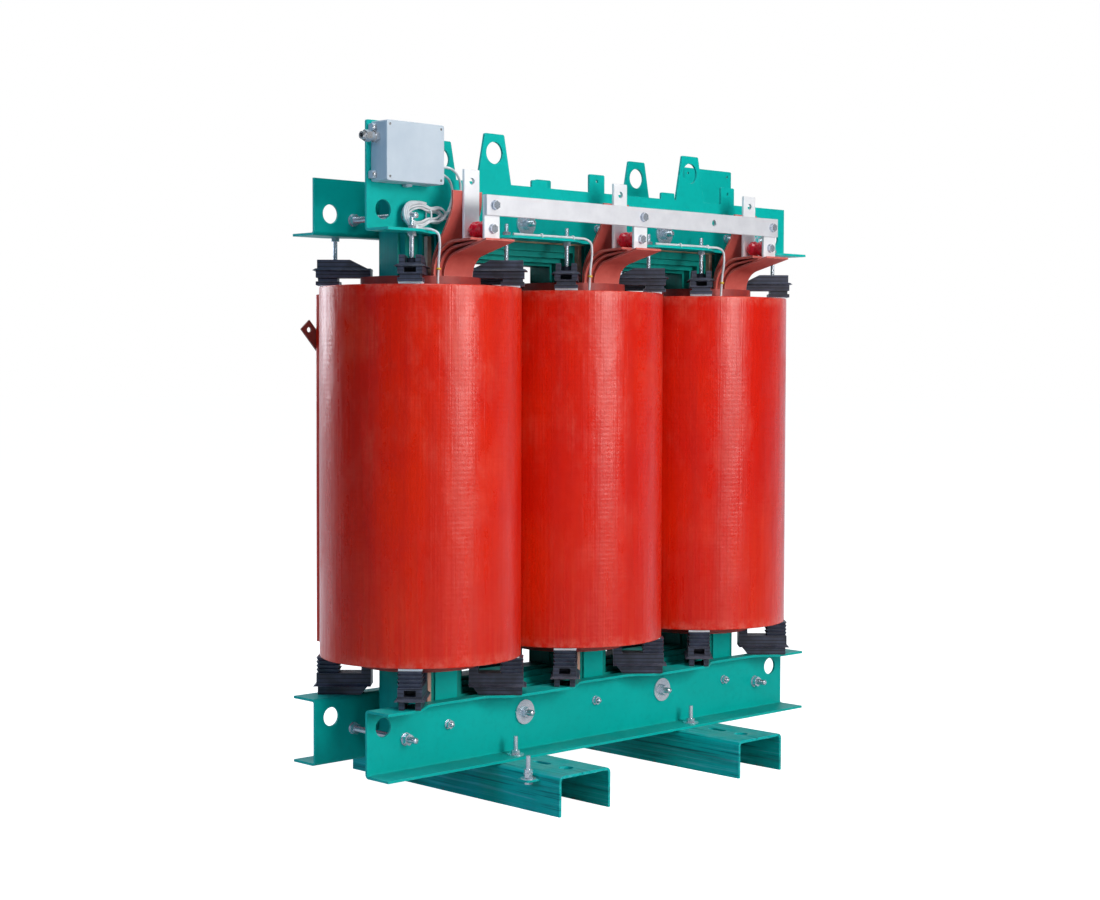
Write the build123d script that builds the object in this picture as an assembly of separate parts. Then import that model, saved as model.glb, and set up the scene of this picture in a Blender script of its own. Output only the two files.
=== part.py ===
from build123d import *
import math
import os

# Three-phase dry type transformer: a stepped core between folded clamps, three
# pairs of round coils on moulded supports, and busbars on the low-voltage side.
# X runs along the row of coils, Y from the low-voltage side (front, -Y) to the
# high-voltage side (rear, +Y), Z up. The origin is at the bottom centre of the
# base. All sizes are in millimetres.

# --- core: packets of lamination, as (full depth in Y); widths follow a circle ---
core_diameter = 210.0
packet_depths = [60.0, 100.0, 136.0, 164.0, 188.0]
leg_pitch = 524.4
window_height = 1063.4
yoke_rest_gap = 2.0

# --- base channels under the clamps ---
channel_gauge = 670.0
channel_width = 178.0
channel_height = 100.8
channel_length = 810.0
channel_wall = 7.0
channel_bend = 14.0
floor_slot_length = 60.0
floor_slot_width = 20.0
floor_slot_inset = 155.0
tow_hole_diameter = 38.0
tow_hole_inset = 68.0

# --- clamps, folded from plate ---
clamp_plate = 6.4
clamp_bend = 11.0
clamp_half_length = 784.0
yoke_insulation = 6.0
flange_reach = 81.6
lower_clamp_height = 167.6
upper_web_height = 141.0
upper_flange_drop = 44.0
notch_half_width = 125.0
notch_slope = 60.0
notch_depth = 44.0
notch_fillet = 55.0
handling_hole_diameter = 48.0
handling_hole_inset = 51.0
handling_hole_drop = 48.0
crown_height = 125.0
crown_corner = 5.0
box_plate_width = 210.0
eye_offset = 370.0
eye_base_width = 116.0
eye_top_width = 66.0
eye_hole_diameter = 56.0
eye_hole_drop = 48.0
tall_tab_offset = 530.0
tall_tab_width = 57.0
tall_tab_height = 48.0
tall_tab_hole = 8.0
low_tab_offset = 212.0
low_tab_far_offset = 279.0
low_tab_width = 54.0
low_tab_height = 18.0
low_tab_hole_drop = 18.0
high_tab_hole_drop = 16.0
box_plate_hole_inset = 18.0

# --- leg tie plates and packing strips ---
tie_plate_width = 72.0
tie_plate_thickness = 5.6
tie_plate_overlap = 148.0
tie_plate_rise = 118.0
packing_strip_width = 12.0
packing_strip_proud = 1.5

# --- coils ---
hv_outer_radius = 255.4
hv_inner_radius = 188.0
hv_height = 930.3
hv_edge_fillet = 3.0
hv_pad_width = 200.0
hv_pad_reach = 308.0
hv_pad_end_inset = 12.0
lv_outer_radius = 152.0
lv_inner_radius = 114.0
lv_overhang = 24.0

# --- moulded supports between clamps and coils ---
support_angle = 44.0
support_radius = 216.0
support_inner_radius = 124.0
support_outer_radius = 262.0
support_width = 60.0
support_fin_overhang = 8.0
support_fin_thickness = 5.0
support_foot_inner_radius = 203.0
support_leg_height = 22.0
support_leg_slope = 26.0
support_groove_width = 27.0
support_body_height = 28.0
support_pocket_width = 30.0
support_pocket_height = 16.0
support_pocket_depth = 34.0
support_shed_count = 4
support_shed_pitch = 10.0
support_shed_reach = 5.0
top_foot_height = 19.0
top_body_height = 18.0
top_leg_height = 22.0
coil_pad_thickness = 5.0
block_ledge_length = 24.0

# --- pressure screws through the upper flanges ---
screw_diameter = 12.0
screw_above_flange = 30.0
nut_flat_ratio = 1.6
nut_height_ratio = 0.8
fit_clearance = 0.3

# --- bolts through the yokes and clamps ---
yoke_bolt_diameter = 16.0
yoke_washer_diameter = 64.0
yoke_washer_thickness = 5.0
bolt_end_length = 16.0
leg_bolt_diameter = 12.0
leg_bolt_end = 8.0
tie_rod_diameter = 16.0
tie_rod_x = 663.0
lower_tie_rod_drop = 20.0
upper_tie_rod_drop = 2.0
tie_rod_end = 26.0
washer_ratio = 2.0
washer_thickness = 2.5

# --- base studs and the earthing bolt ---
base_stud_diameter = 12.0
base_stud_height = 48.0
base_washer_diameter = 44.0
base_stud_y = 152.0
earth_bolt_diameter = 12.0
earth_bolt_inset = 90.0
earth_washer_diameter = 38.0
earth_bolt_length = 62.0
earth_tab_reach = 40.0
earth_tab_width = 40.0
earth_tab_thickness = 5.0
earth_tab_z = 80.0

# --- busbars on the low-voltage side ---
bar_width = 50.0
bar_thickness = 8.0
phase_bar_y = 190.0
phase_bar_height = 180.0
phase_bar_foot = 1402.0
riser_y = 264.0
riser_height = 114.0
neutral_bar_height = 50.0
neutral_bar_overhang = 25.0
bar_edge = 1.0
terminal_hole_diameter = 13.0
terminal_hole_drop = 28.0
lug_hole_diameter = 17.0
riser_foot_drop = 12.0
phase_foot_lift = 8.0
neutral_hole_x = 280.0
bar_bolt_diameter = 12.0
bar_bolt_grip = 3.0
standoff_bore = 14.0
standoff_rise = 32.0
standoff_rib_radius = 21.0

# --- flat lead strips from the low-voltage coils ---
strip_thickness = 5.0
strip_width = 94.0
strip_start_inset = 10.5
strip_row_pitch = 8.0
strip_front_bend = 55.0
strip_front_shift = 3.0
strip_front_rise = 44.0
strip_front_slope = 0.266
strip_front_lip = 26.0
strip_back_bend = 79.0
strip_back_start = 20.0
strip_back_shift = 16.0
strip_back_rise = 79.6
strip_back_slope = 0.05
strip_middle_bend = 69.0
strip_middle_start = 12.0
strip_middle_shift = -6.0
strip_middle_rise = 62.1
strip_middle_slope = 0.15
strip_phase_bend = 100.0
strip_phase_start = 16.0
strip_phase_shift = 7.0
strip_phase_rise = 43.3
strip_phase_slope = 1.79
strip_phase_top = 1530.0

# --- high-voltage terminals and tappings on the rear ---
hv_lug_width = 36.0
hv_lug_thickness = 5.0
hv_lug_length = 110.0
hv_lug_angle = 48.0
hv_lug_hole = 14.0
hv_lug_screw = 12.0
hv_lug_inset = 172.0
hv_lug_side = 57.0
tap_rows = 5
tap_pitch = 44.0
tap_spread = 60.0
tap_boss_diameter = 24.0
tap_boss_height = 8.0
tap_link_end = 12.0
tap_bolt = 10.0

# --- control box ---
box_width = 180.0
box_height = 144.0
box_body_depth = 40.0
box_lid_depth = 20.0
box_wall = 4.0
box_corner = 6.0
box_drop = 4.0
box_inset = 14.0
box_screw_inset = 10.0
box_screw_diameter = 7.0
gland_diameter = 20.0
gland_length = 46.0
gland_drop = 38.0

# --- sensor cables ---
cable_diameter = 6.0
bundle_x = -622.0
bundle_z = 1470.5
bundle_length = 156.0
bundle_height = 76.0
bundle_section = 16.0

# --- derived levels and places ---
half_core_depth = packet_depths[-1] / 2.0
packet_widths = [2.0 * math.sqrt((core_diameter / 2.0) ** 2 - (d / 2.0) ** 2) for d in packet_depths]
yoke_height = packet_widths[0]
lower_yoke_z = channel_height + yoke_rest_gap + yoke_height / 2.0
upper_yoke_z = lower_yoke_z + yoke_height + window_height
web_inner = half_core_depth + yoke_insulation
web_outer = web_inner + clamp_plate
flange_edge = web_outer + flange_reach
lower_flange_top = channel_height + lower_clamp_height
upper_flange_top = upper_yoke_z - upper_flange_drop + clamp_plate
upper_flange_bottom = upper_flange_top - clamp_plate
web_top = upper_flange_bottom + upper_web_height
crown_top = web_top + crown_height
shed_stack = support_shed_count * support_shed_pitch
bottom_support_height = support_leg_height + support_fin_thickness + support_body_height + shed_stack
hv_bottom = lower_flange_top + bottom_support_height + coil_pad_thickness
hv_top = hv_bottom + hv_height
lv_bottom = hv_bottom - lv_overhang
lv_top = hv_top + lv_overhang
leg_places = [-leg_pitch, 0.0, leg_pitch]
phase_names = ["left", "middle", "right"]
support_angles = [support_angle, 180.0 - support_angle, 180.0 + support_angle, -support_angle]
channel_places = [-channel_gauge / 2.0, channel_gauge / 2.0]
leg_bolt_low_z = lower_yoke_z
leg_bolt_high_z = upper_yoke_z
lower_tie_rod_z = lower_yoke_z - lower_tie_rod_drop
upper_tie_rod_z = upper_yoke_z - upper_tie_rod_drop
neutral_z = phase_bar_foot + riser_height - neutral_bar_height / 2.0
standoff_z = phase_bar_foot + standoff_rise
socket_height = top_leg_height - 6.0


# ---------------------------------------------------------------- helpers

def block(x0, x1, y0, y1, z0, z1):
    """A box between two opposite corners."""
    solid = Box(x1 - x0, y1 - y0, z1 - z0, align=(Align.MIN, Align.MIN, Align.MIN))
    return Pos(x0, y0, z0) * solid


def rod(radius, start, end):
    """A round bar from one point to another."""
    first = Vector(*start)
    axis = Vector(*end) - first
    plane = Plane(origin=first, z_dir=axis)
    return extrude(plane * Circle(radius), amount=axis.length)


def ring(outer, inner, start, end):
    """A washer or sleeve between two points."""
    first = Vector(*start)
    axis = Vector(*end) - first
    plane = Plane(origin=first, z_dir=axis)
    return extrude(plane * (Circle(outer) - Circle(inner)), amount=axis.length)


def hex_bar(diameter, start, end, bored=True):
    """A hexagon nut on a thread of this diameter, or a bolt head when not bored."""
    first = Vector(*start)
    axis = Vector(*end) - first
    plane = Plane(origin=first, z_dir=axis)
    outline = RegularPolygon(diameter * nut_flat_ratio / 2.0, 6, major_radius=False)
    if bored:
        outline = outline - Circle(diameter / 2.0 + fit_clearance / 2.0)
    return extrude(plane * outline, amount=axis.length)


def solids_of(pieces):
    """The separate solids of a list of shapes, kept apart."""
    found = []
    for piece in pieces:
        found.extend(piece.solids())
    return found


def save(name, pieces):
    """Writes one node: one solid, or a group of separate solids, set so that the whole is centred on X."""
    left = box_left() - gland_length
    centring = Pos(-(left + clamp_half_length) / 2.0, 0, 0)
    solids = [centring * solid for solid in solids_of(pieces if isinstance(pieces, list) else [pieces])]
    shape = solids[0] if len(solids) == 1 else Compound(children=solids)
    export_step(shape, "parts/" + name + ".step")


# ---------------------------------------------------------------- core

def layers(depth, below, x0, x1, z0, z1):
    """One packet of the core: two slabs outside the wider packet, or the middle slab."""
    if below == 0.0:
        return [block(x0, x1, -depth / 2.0, depth / 2.0, z0, z1)]
    return [block(x0, x1, -depth / 2.0, -below / 2.0, z0, z1), block(x0, x1, below / 2.0, depth / 2.0, z0, z1)]


def core_leg(x):
    """One stepped leg: each packet butts against the yoke packet of its own width."""
    slabs = []
    for depth, below, width in zip(packet_depths, [0.0] + packet_depths, packet_widths):
        low = lower_yoke_z + width / 2.0
        high = upper_yoke_z - width / 2.0
        slabs += layers(depth, below, x - width / 2.0, x + width / 2.0, low, high)
    return Part() + slabs


def yoke(z):
    """One stepped yoke across the three legs, drilled for the yoke bolts."""
    slabs = []
    for depth, below, width in zip(packet_depths, [0.0] + packet_depths, packet_widths):
        end = leg_pitch + width / 2.0
        slabs += layers(depth, below, -end, end, z - width / 2.0, z + width / 2.0)
    beam = Part() + slabs
    for x in (-leg_pitch / 2.0, leg_pitch / 2.0):
        beam = beam - rod(yoke_bolt_diameter / 2.0 + 1.0, (x, -half_core_depth, z), (x, half_core_depth, z))
    return beam


def tie_plates():
    """Flat plates on both faces of each leg, held by the leg bolts."""
    plates = []
    for x in leg_places:
        for side in (-1.0, 1.0):
            near = side * half_core_depth
            far = side * (half_core_depth + tie_plate_thickness)
            low = lower_flange_top - tie_plate_overlap
            high = upper_flange_bottom + tie_plate_rise
            plate = block(x - tie_plate_width / 2.0, x + tie_plate_width / 2.0,
                          min(near, far), max(near, far), low, high)
            for z in (leg_bolt_low_z, leg_bolt_high_z):
                hole = rod(leg_bolt_diameter / 2.0 + 0.5, (x, -web_outer, z), (x, web_outer, z))
                plate = plate - hole
            plates.append(plate)
    return plates


def packing_strips():
    """Insulating strips that stand beside the tie plates, in the corner of the steps."""
    strips = []
    low = lower_yoke_z + packet_widths[-1] / 2.0
    high = upper_yoke_z - packet_widths[-1] / 2.0
    for x in leg_places:
        for side in (-1.0, 1.0):
            inner = packet_widths[-1] / 2.0
            outer = inner + packing_strip_width
            near = packet_depths[-2] / 2.0
            far = half_core_depth + packing_strip_proud
            strips.append(block(min(x + side * inner, x + side * outer),
                                max(x + side * inner, x + side * outer),
                                min(side * near, side * far), max(side * near, side * far), low, high))
    return strips


def insulation_boards():
    """Boards between the yokes and the clamps, cut away round the tie plates."""
    boards = []
    gap = tie_plate_width / 2.0 + 4.0
    spans = [(-leg_pitch + gap, -gap), (gap, leg_pitch - gap)]
    for z in (lower_yoke_z, upper_yoke_z):
        half = packet_widths[-1] / 2.0
        for side in (-1.0, 1.0):
            y0 = min(side * half_core_depth, side * web_inner)
            y1 = max(side * half_core_depth, side * web_inner)
            for x0, x1 in spans:
                board = block(x0, x1, y0, y1, z - half, z + half)
                middle = (x0 + x1) / 2.0
                hole = rod(yoke_bolt_diameter / 2.0 + 1.0, (middle, y0, z), (middle, y1, z))
                boards.append(board - hole)
    return boards


# ---------------------------------------------------------------- clamps

def flange_notches(z0, z1):
    """Waisted cut-outs in a front flange, one before each coil, with soft shoulders."""
    cuts = []
    edge = -flange_edge - 1.0
    floor = -flange_edge + notch_depth
    for x in leg_places:
        wide = notch_half_width + notch_slope / 2.0
        narrow = notch_half_width - notch_slope / 2.0
        reach = wide + notch_fillet
        outline = Polyline(
            (x - reach, edge), (x - reach, -flange_edge), (x - wide, -flange_edge),
            (x - narrow, floor), (x + narrow, floor), (x + wide, -flange_edge),
            (x + reach, -flange_edge), (x + reach, edge), close=True)
        face = make_face(outline)
        corners = [v for v in face.vertices() if abs(v.X - x) < wide + 1.0 and v.Y > edge + 0.5]
        face = fillet(corners, notch_fillet)
        cuts.append(extrude(Plane.XY.offset(z0) * face, amount=z1 - z0))
    return cuts


def end_hole(x, z, diameter):
    """A round hole through the front web."""
    return rod(diameter / 2.0, (x, -web_outer - 1.0, z), (x, -web_inner + 1.0, z))


def lower_clamp():
    """The front lower clamp: a channel folded from plate, its flanges turned out."""
    z0 = channel_height
    z1 = lower_flange_top
    outer = Polyline((-flange_edge, z0), (-web_inner, z0), (-web_inner, z1), (-flange_edge, z1),
                     (-flange_edge, z1 - clamp_plate), (-web_outer, z1 - clamp_plate),
                     (-web_outer, z0 + clamp_plate), (-flange_edge, z0 + clamp_plate), close=True)
    face = make_face(outer)
    bends = [v for v in face.vertices() if abs(v.X + web_inner) < 0.01]
    face = fillet(bends, clamp_bend)
    inner = [v for v in face.vertices() if abs(v.X + web_outer) < 0.01]
    face = fillet(inner, clamp_bend - clamp_plate)
    profile = Plane(origin=(-clamp_half_length, 0, 0), x_dir=(0, 1, 0), z_dir=(1, 0, 0)) * face
    clamp = extrude(profile, amount=2.0 * clamp_half_length)
    for cut in flange_notches(z1 - clamp_plate - 0.5, z1 + 1.0):
        clamp = clamp - cut
    for sign in (-1.0, 1.0):
        x = sign * (clamp_half_length - handling_hole_inset)
        clamp = clamp - end_hole(x, z1 - handling_hole_drop, handling_hole_diameter)
        clamp = clamp - end_hole(sign * tie_rod_x, lower_tie_rod_z, tie_rod_diameter + 1.0)
        clamp = clamp - end_hole(sign * leg_pitch / 2.0, lower_yoke_z, yoke_bolt_diameter + 1.0)
    for x in leg_places:
        clamp = clamp - end_hole(x, leg_bolt_low_z, leg_bolt_diameter + 1.0)
    for x in channel_places:
        hole = rod(base_stud_diameter / 2.0 + 0.5, (x, -base_stud_y, z0 - 1.0),
                   (x, -base_stud_y, z0 + clamp_plate + 1.0))
        clamp = clamp - hole
    return clamp


def crown_outline():
    """The upper web seen from the front: box plate, lifting eyes and tabs on its edge."""
    end = clamp_half_length
    foot = upper_flange_top + clamp_bend
    plate_end = -end + box_plate_width
    points = [(-end, foot), (-end, crown_top), (plate_end, crown_top), (plate_end, web_top)]
    bumps = []
    for sign in (-1.0, 1.0):
        bumps.append(("eye", sign * eye_offset))
    bumps.append(("tall", 0.0))
    bumps.append(("tall", tall_tab_offset))
    bumps.append(("low", -low_tab_offset))
    bumps.append(("low", low_tab_far_offset))
    bumps.sort(key=lambda item: item[1])
    for kind, x in bumps:
        if kind == "eye":
            points += [(x - eye_base_width / 2.0, web_top), (x - eye_top_width / 2.0, crown_top),
                       (x + eye_top_width / 2.0, crown_top), (x + eye_base_width / 2.0, web_top)]
        else:
            half = (tall_tab_width if kind == "tall" else low_tab_width) / 2.0
            top = web_top + (tall_tab_height if kind == "tall" else low_tab_height)
            points += [(x - half, web_top), (x - half, top), (x + half, top), (x + half, web_top)]
    points += [(end, web_top), (end, foot)]
    face = make_face(Polyline(*points, close=True))
    tips = [v for v in face.vertices() if v.Y > web_top + 1.0]
    return fillet(tips, crown_corner)


def upper_clamp():
    """The front upper clamp: a tall web folded out into one flange at its foot."""
    seam = upper_flange_top + clamp_bend
    fold = make_face(Polyline(
        (-flange_edge, upper_flange_bottom), (-web_inner, upper_flange_bottom), (-web_inner, seam),
        (-web_outer, seam), (-web_outer, upper_flange_top), (-flange_edge, upper_flange_top), close=True))
    heel = [v for v in fold.vertices() if abs(v.X + web_inner) < 0.01 and v.Y < upper_flange_top]
    fold = fillet(heel, clamp_bend)
    throat = [v for v in fold.vertices() if abs(v.X + web_outer) < 0.01 and v.Y < seam - 1.0]
    fold = fillet(throat, clamp_bend - clamp_plate)
    profile = Plane(origin=(-clamp_half_length, 0, 0), x_dir=(0, 1, 0), z_dir=(1, 0, 0)) * fold
    angle = extrude(profile, amount=2.0 * clamp_half_length)
    crown_plane = Plane(origin=(0, -web_inner, 0), x_dir=(1, 0, 0), z_dir=(0, -1, 0))
    clamp = angle + extrude(crown_plane * crown_outline(), amount=clamp_plate)
    for cut in flange_notches(upper_flange_bottom - 1.0, upper_flange_top + 0.5):
        clamp = clamp - cut
    for sign in (-1.0, 1.0):
        x = sign * (clamp_half_length - handling_hole_inset)
        clamp = clamp - end_hole(x, upper_flange_top + handling_hole_drop, handling_hole_diameter)
        clamp = clamp - end_hole(sign * tie_rod_x, upper_tie_rod_z, tie_rod_diameter + 1.0)
        clamp = clamp - end_hole(sign * leg_pitch / 2.0, upper_yoke_z, yoke_bolt_diameter + 1.0)
        clamp = clamp - end_hole(sign * eye_offset, crown_top - eye_hole_drop, eye_hole_diameter)
    for x in leg_places:
        clamp = clamp - end_hole(x, leg_bolt_high_z, leg_bolt_diameter + 1.0)
    for x in (0.0, tall_tab_offset):
        clamp = clamp - end_hole(x, web_top + tall_tab_height - low_tab_hole_drop, tall_tab_hole)
    for x in (-clamp_half_length + box_plate_hole_inset, -clamp_half_length + box_plate_width - box_plate_hole_inset):
        clamp = clamp - end_hole(x, crown_top - high_tab_hole_drop, tall_tab_hole)
    for x, y in screw_places("front"):
        hole = rod(screw_diameter / 2.0 + 0.5, (x, y, upper_flange_bottom - 1.0), (x, y, upper_flange_top + 1.0))
        clamp = clamp - hole
    return clamp


def turned(shape):
    """The rear part: the front one turned half round about the vertical axis."""
    return shape.rotate(Axis.Z, 180.0)


# ---------------------------------------------------------------- base

def base_channel(x):
    """An inverted channel folded from plate, with a slot and a round hole near each end."""
    half = channel_width / 2.0
    wall = channel_wall
    outline = Polyline((-half, 0), (-half, channel_height), (half, channel_height), (half, 0),
                       (half - wall, 0), (half - wall, channel_height - wall),
                       (-half + wall, channel_height - wall), (-half + wall, 0), close=True)
    face = make_face(outline)
    outer = [v for v in face.vertices() if v.Y > channel_height - 0.01]
    face = fillet(outer, channel_bend)
    inner = [v for v in face.vertices() if abs(v.Y - channel_height + wall) < 0.01 and abs(v.X) < half - wall + 0.01]
    face = fillet(inner, channel_bend - wall)
    plane = Plane(origin=(x, -channel_length / 2.0, 0), x_dir=(1, 0, 0), z_dir=(0, -1, 0))
    channel = extrude(plane * face, amount=-channel_length)
    low = channel_height - wall - 1.0
    for sign in (-1.0, 1.0):
        y = sign * (channel_length / 2.0 - floor_slot_inset)
        sketch = SlotOverall(floor_slot_length, floor_slot_width, rotation=90.0)
        slot = extrude(Pos(x, y, low) * sketch, amount=wall + 2.0)
        channel = channel - slot
        y = sign * (channel_length / 2.0 - tow_hole_inset)
        channel = channel - rod(tow_hole_diameter / 2.0, (x, y, low), (x, y, channel_height + 1.0))
        channel = channel - rod(base_stud_diameter / 2.0 + 0.5, (x, sign * base_stud_y, low),
                                (x, sign * base_stud_y, channel_height + 1.0))
    return channel


# ---------------------------------------------------------------- coils

def hv_coil(x):
    """A high-voltage coil: a thick sleeve with a flat tapping face moulded on its rear."""
    sleeve = Cylinder(hv_outer_radius, hv_height, align=(Align.CENTER, Align.CENTER, Align.MIN))
    half = hv_pad_width / 2.0
    pad_height = hv_height - 2.0 * hv_pad_end_inset
    pad = block(-half, half, hv_inner_radius, hv_pad_reach, hv_pad_end_inset, hv_pad_end_inset + pad_height)
    pad_edges = [e for e in pad.edges().filter_by(Axis.Z) if e.center().Y > hv_pad_reach - 1.0]
    pad = fillet(pad_edges, 8.0)
    coil = sleeve + pad
    bore = Cylinder(hv_inner_radius, hv_height, align=(Align.CENTER, Align.CENTER, Align.MIN))
    coil = coil - bore
    rims = [e for e in coil.edges().filter_by(GeomType.CIRCLE)
            if abs(e.radius - hv_outer_radius) < 0.01 and (e.center().Z < 0.01 or e.center().Z > hv_height - 0.01)]
    coil = fillet(rims, hv_edge_fillet)
    return Pos(x, 0, hv_bottom) * coil


def lv_coil(x):
    """A low-voltage coil: a sleeve between the leg and the high-voltage coil."""
    height = hv_height + 2.0 * lv_overhang
    sleeve = Cylinder(lv_outer_radius, height, align=(Align.CENTER, Align.CENTER, Align.MIN))
    bore = Cylinder(lv_inner_radius, height, align=(Align.CENTER, Align.CENTER, Align.MIN))
    return Pos(x, 0, lv_bottom) * (sleeve - bore)


# ---------------------------------------------------------------- supports

def radial_profile(points, width):
    """Extrudes a profile drawn in (radius, height) to a width across the radius."""
    plane = Plane(origin=(0, width / 2.0, 0), x_dir=(1, 0, 0), z_dir=(0, -1, 0))
    return extrude(plane * make_face(Polyline(*points, close=True)), amount=width)


def fin(z, lip):
    """A thin skirt round the block, its edge drawn out beyond the body."""
    reach = support_fin_overhang
    half = support_width / 2.0
    inner = support_inner_radius
    length = support_outer_radius - inner
    skirt = Plane(origin=(inner, 0, z))
    aligned = (Align.MIN, Align.CENTER)
    wide = skirt * Rectangle(length + reach, 2.0 * (half + reach), align=aligned)
    neat = skirt.offset(lip) * Rectangle(length + 1.0, 2.0 * (half + 1.0), align=aligned)
    return loft([wide, neat])


def bottom_support():
    """A lower block at radius along +X: two legs, skirt, body and a stack of sheds."""
    r0 = support_inner_radius
    r1 = support_outer_radius
    fin_z = support_leg_height
    body_z = fin_z + support_fin_thickness
    body_top = body_z + support_body_height
    slope = support_leg_slope
    base = radial_profile([(r0 + slope, 0), (r1 - 3.0, 0), (r1 - 3.0, fin_z), (r0 + 8.0, fin_z)], support_width - 6.0)
    groove = block(r0 - 1.0, r1 + 1.0, -support_groove_width / 2.0, support_groove_width / 2.0, -1.0, fin_z - 3.0)
    body = block(r0, r1, -support_width / 2.0, support_width / 2.0, body_z, body_top)
    pocket = block(r1 - support_pocket_depth, r1 + 1.0, -support_pocket_width / 2.0, support_pocket_width / 2.0,
                   body_z + 6.0, body_z + 6.0 + support_pocket_height)
    ledge = block(r0, r0 + block_ledge_length, -support_width / 2.0, support_width / 2.0, body_top,
                  body_top + shed_stack + coil_pad_thickness - lv_overhang)
    shape = (base - groove) + fin(fin_z, support_fin_thickness) + (body - pocket) + ledge
    for count in range(support_shed_count):
        z = body_top + count * support_shed_pitch
        foot0 = support_foot_inner_radius
        reach = support_shed_reach
        plane = Plane(origin=((foot0 + r1) / 2.0, 0, z))
        neat = plane * Rectangle(r1 - foot0 - 2.0 * reach, support_width - 2.0 * reach)
        wide = plane.offset(support_shed_pitch) * Rectangle(r1 - foot0, support_width)
        shape = shape + loft([neat, wide])
    return shape


def top_support():
    """An upper block at radius along +X: foot, body, skirt and a grooved crown."""
    r0 = support_inner_radius
    r1 = support_outer_radius
    body_top = top_foot_height + top_body_height
    crown_z = body_top + support_fin_thickness
    crown_top_z = crown_z + top_leg_height
    half = support_width / 2.0
    foot_half = top_foot_height / 2.0
    foot = block(support_foot_inner_radius, r1, -half, half, 0, foot_half)
    neck = block(support_foot_inner_radius + 5.0, r1 - 5.0, -half + 5.0, half - 5.0, foot_half, top_foot_height)
    body = block(r0, r1, -half, half, top_foot_height, body_top)
    pocket = block(r1 - support_pocket_depth, r1 + 1.0, -support_pocket_width / 2.0, support_pocket_width / 2.0,
                   top_foot_height + 3.0, body_top - 2.0)
    crown = radial_profile([(r0 + 8.0, crown_z), (r1 - 3.0, crown_z), (r1 - 3.0, crown_top_z),
                            (r0 + 2.0 * support_leg_slope, crown_top_z)], support_width - 6.0)
    groove = block(r0 - 1.0, r1 + 1.0, -support_groove_width / 2.0, support_groove_width / 2.0,
                   crown_z + 3.0, crown_top_z + 1.0)
    boss = Pos(support_radius, 0, crown_z) * Cylinder(screw_diameter, socket_height,
                                                      align=(Align.CENTER, Align.CENTER, Align.MIN))
    socket = Pos(support_radius, 0, crown_z + 3.0) * Cylinder(screw_diameter / 2.0 + fit_clearance / 2.0, top_leg_height,
                                                              align=(Align.CENTER, Align.CENTER, Align.MIN))
    skirt = fin(body_top, support_fin_thickness)
    return foot + neck + (body - pocket) + skirt + (crown - groove) + boss - socket


def placed(shape, x, angle, z):
    """Turns a block about its coil's axis and sets it at its height."""
    return Pos(x, 0, z) * (Rot(0, 0, angle) * shape)


def coil_pad(thickness):
    """A white pad between a block's foot and the high-voltage coil."""
    half = support_width / 2.0 - 1.0
    return block(support_foot_inner_radius + 2.0, hv_outer_radius - 4.0, -half, half, 0, thickness)


# ---------------------------------------------------------------- screws and bolts

def screw_places(side):
    """Plan positions of the pressure screws over the supports of one side."""
    found = []
    for x in leg_places:
        for angle in support_angles:
            px = x + support_radius * math.cos(math.radians(angle))
            py = support_radius * math.sin(math.radians(angle))
            if side == "all" or (side == "front" and py < 0):
                found.append((px, py))
    return found


def pressure_screws():
    """Threaded rods that press the coils down, each seated in its block's socket."""
    foot = hv_top + coil_pad_thickness + top_foot_height + top_body_height + support_fin_thickness + 3.0
    top = upper_flange_top + screw_above_flange
    return [rod(screw_diameter / 2.0, (x, y, foot), (x, y, top)) for x, y in screw_places("all")]


def pressure_nuts():
    """A nut above and a nut below the flange on every pressure screw."""
    nuts = []
    height = nut_height_ratio * screw_diameter
    for x, y in screw_places("all"):
        nuts.append(hex_bar(screw_diameter, (x, y, upper_flange_top), (x, y, upper_flange_top + height)))
        nuts.append(hex_bar(screw_diameter, (x, y, upper_flange_bottom - height), (x, y, upper_flange_bottom)))
    return nuts


def cross_bolts(places, diameter, end_length, washer, thickness, inner_nuts):
    """Studs right through both clamps, with washers and nuts outside them and, for tie rods, inside too."""
    studs = []
    washers = []
    nuts = []
    height = nut_height_ratio * diameter
    reach = web_outer + thickness + height + end_length
    bore = diameter / 2.0 + fit_clearance / 2.0
    for x, z in places:
        studs.append(rod(diameter / 2.0, (x, -reach, z), (x, reach, z)))
        for side in (-1.0, 1.0):
            seat = side * (web_outer + thickness)
            washers.append(ring(washer / 2.0, bore, (x, side * web_outer, z), (x, seat, z)))
            nuts.append(hex_bar(diameter, (x, seat, z), (x, seat + side * height, z)))
            if inner_nuts:
                seat = side * (web_inner - thickness)
                washers.append(ring(washer / 2.0, bore, (x, side * web_inner, z), (x, seat, z)))
                nuts.append(hex_bar(diameter, (x, seat, z), (x, seat - side * height, z)))
    return studs, washers, nuts


def leg_bolts():
    """Bolts that hold the tie plates to the clamps, with their washers and nuts."""
    bolts = []
    washers = []
    nuts = []
    d = leg_bolt_diameter
    height = nut_height_ratio * d
    for x in leg_places:
        for z in (leg_bolt_low_z, leg_bolt_high_z):
            for side in (-1.0, 1.0):
                face = side * web_outer
                seat = side * (web_outer + washer_thickness)
                top = seat + side * height
                bolts.append(rod(d / 2.0, (x, side * half_core_depth, z), (x, top + side * leg_bolt_end, z)))
                washers.append(ring(d * washer_ratio / 2.0, d / 2.0 + fit_clearance / 2.0, (x, face, z), (x, seat, z)))
                nuts.append(hex_bar(d, (x, seat, z), (x, top, z)))
    return bolts, washers, nuts


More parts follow.
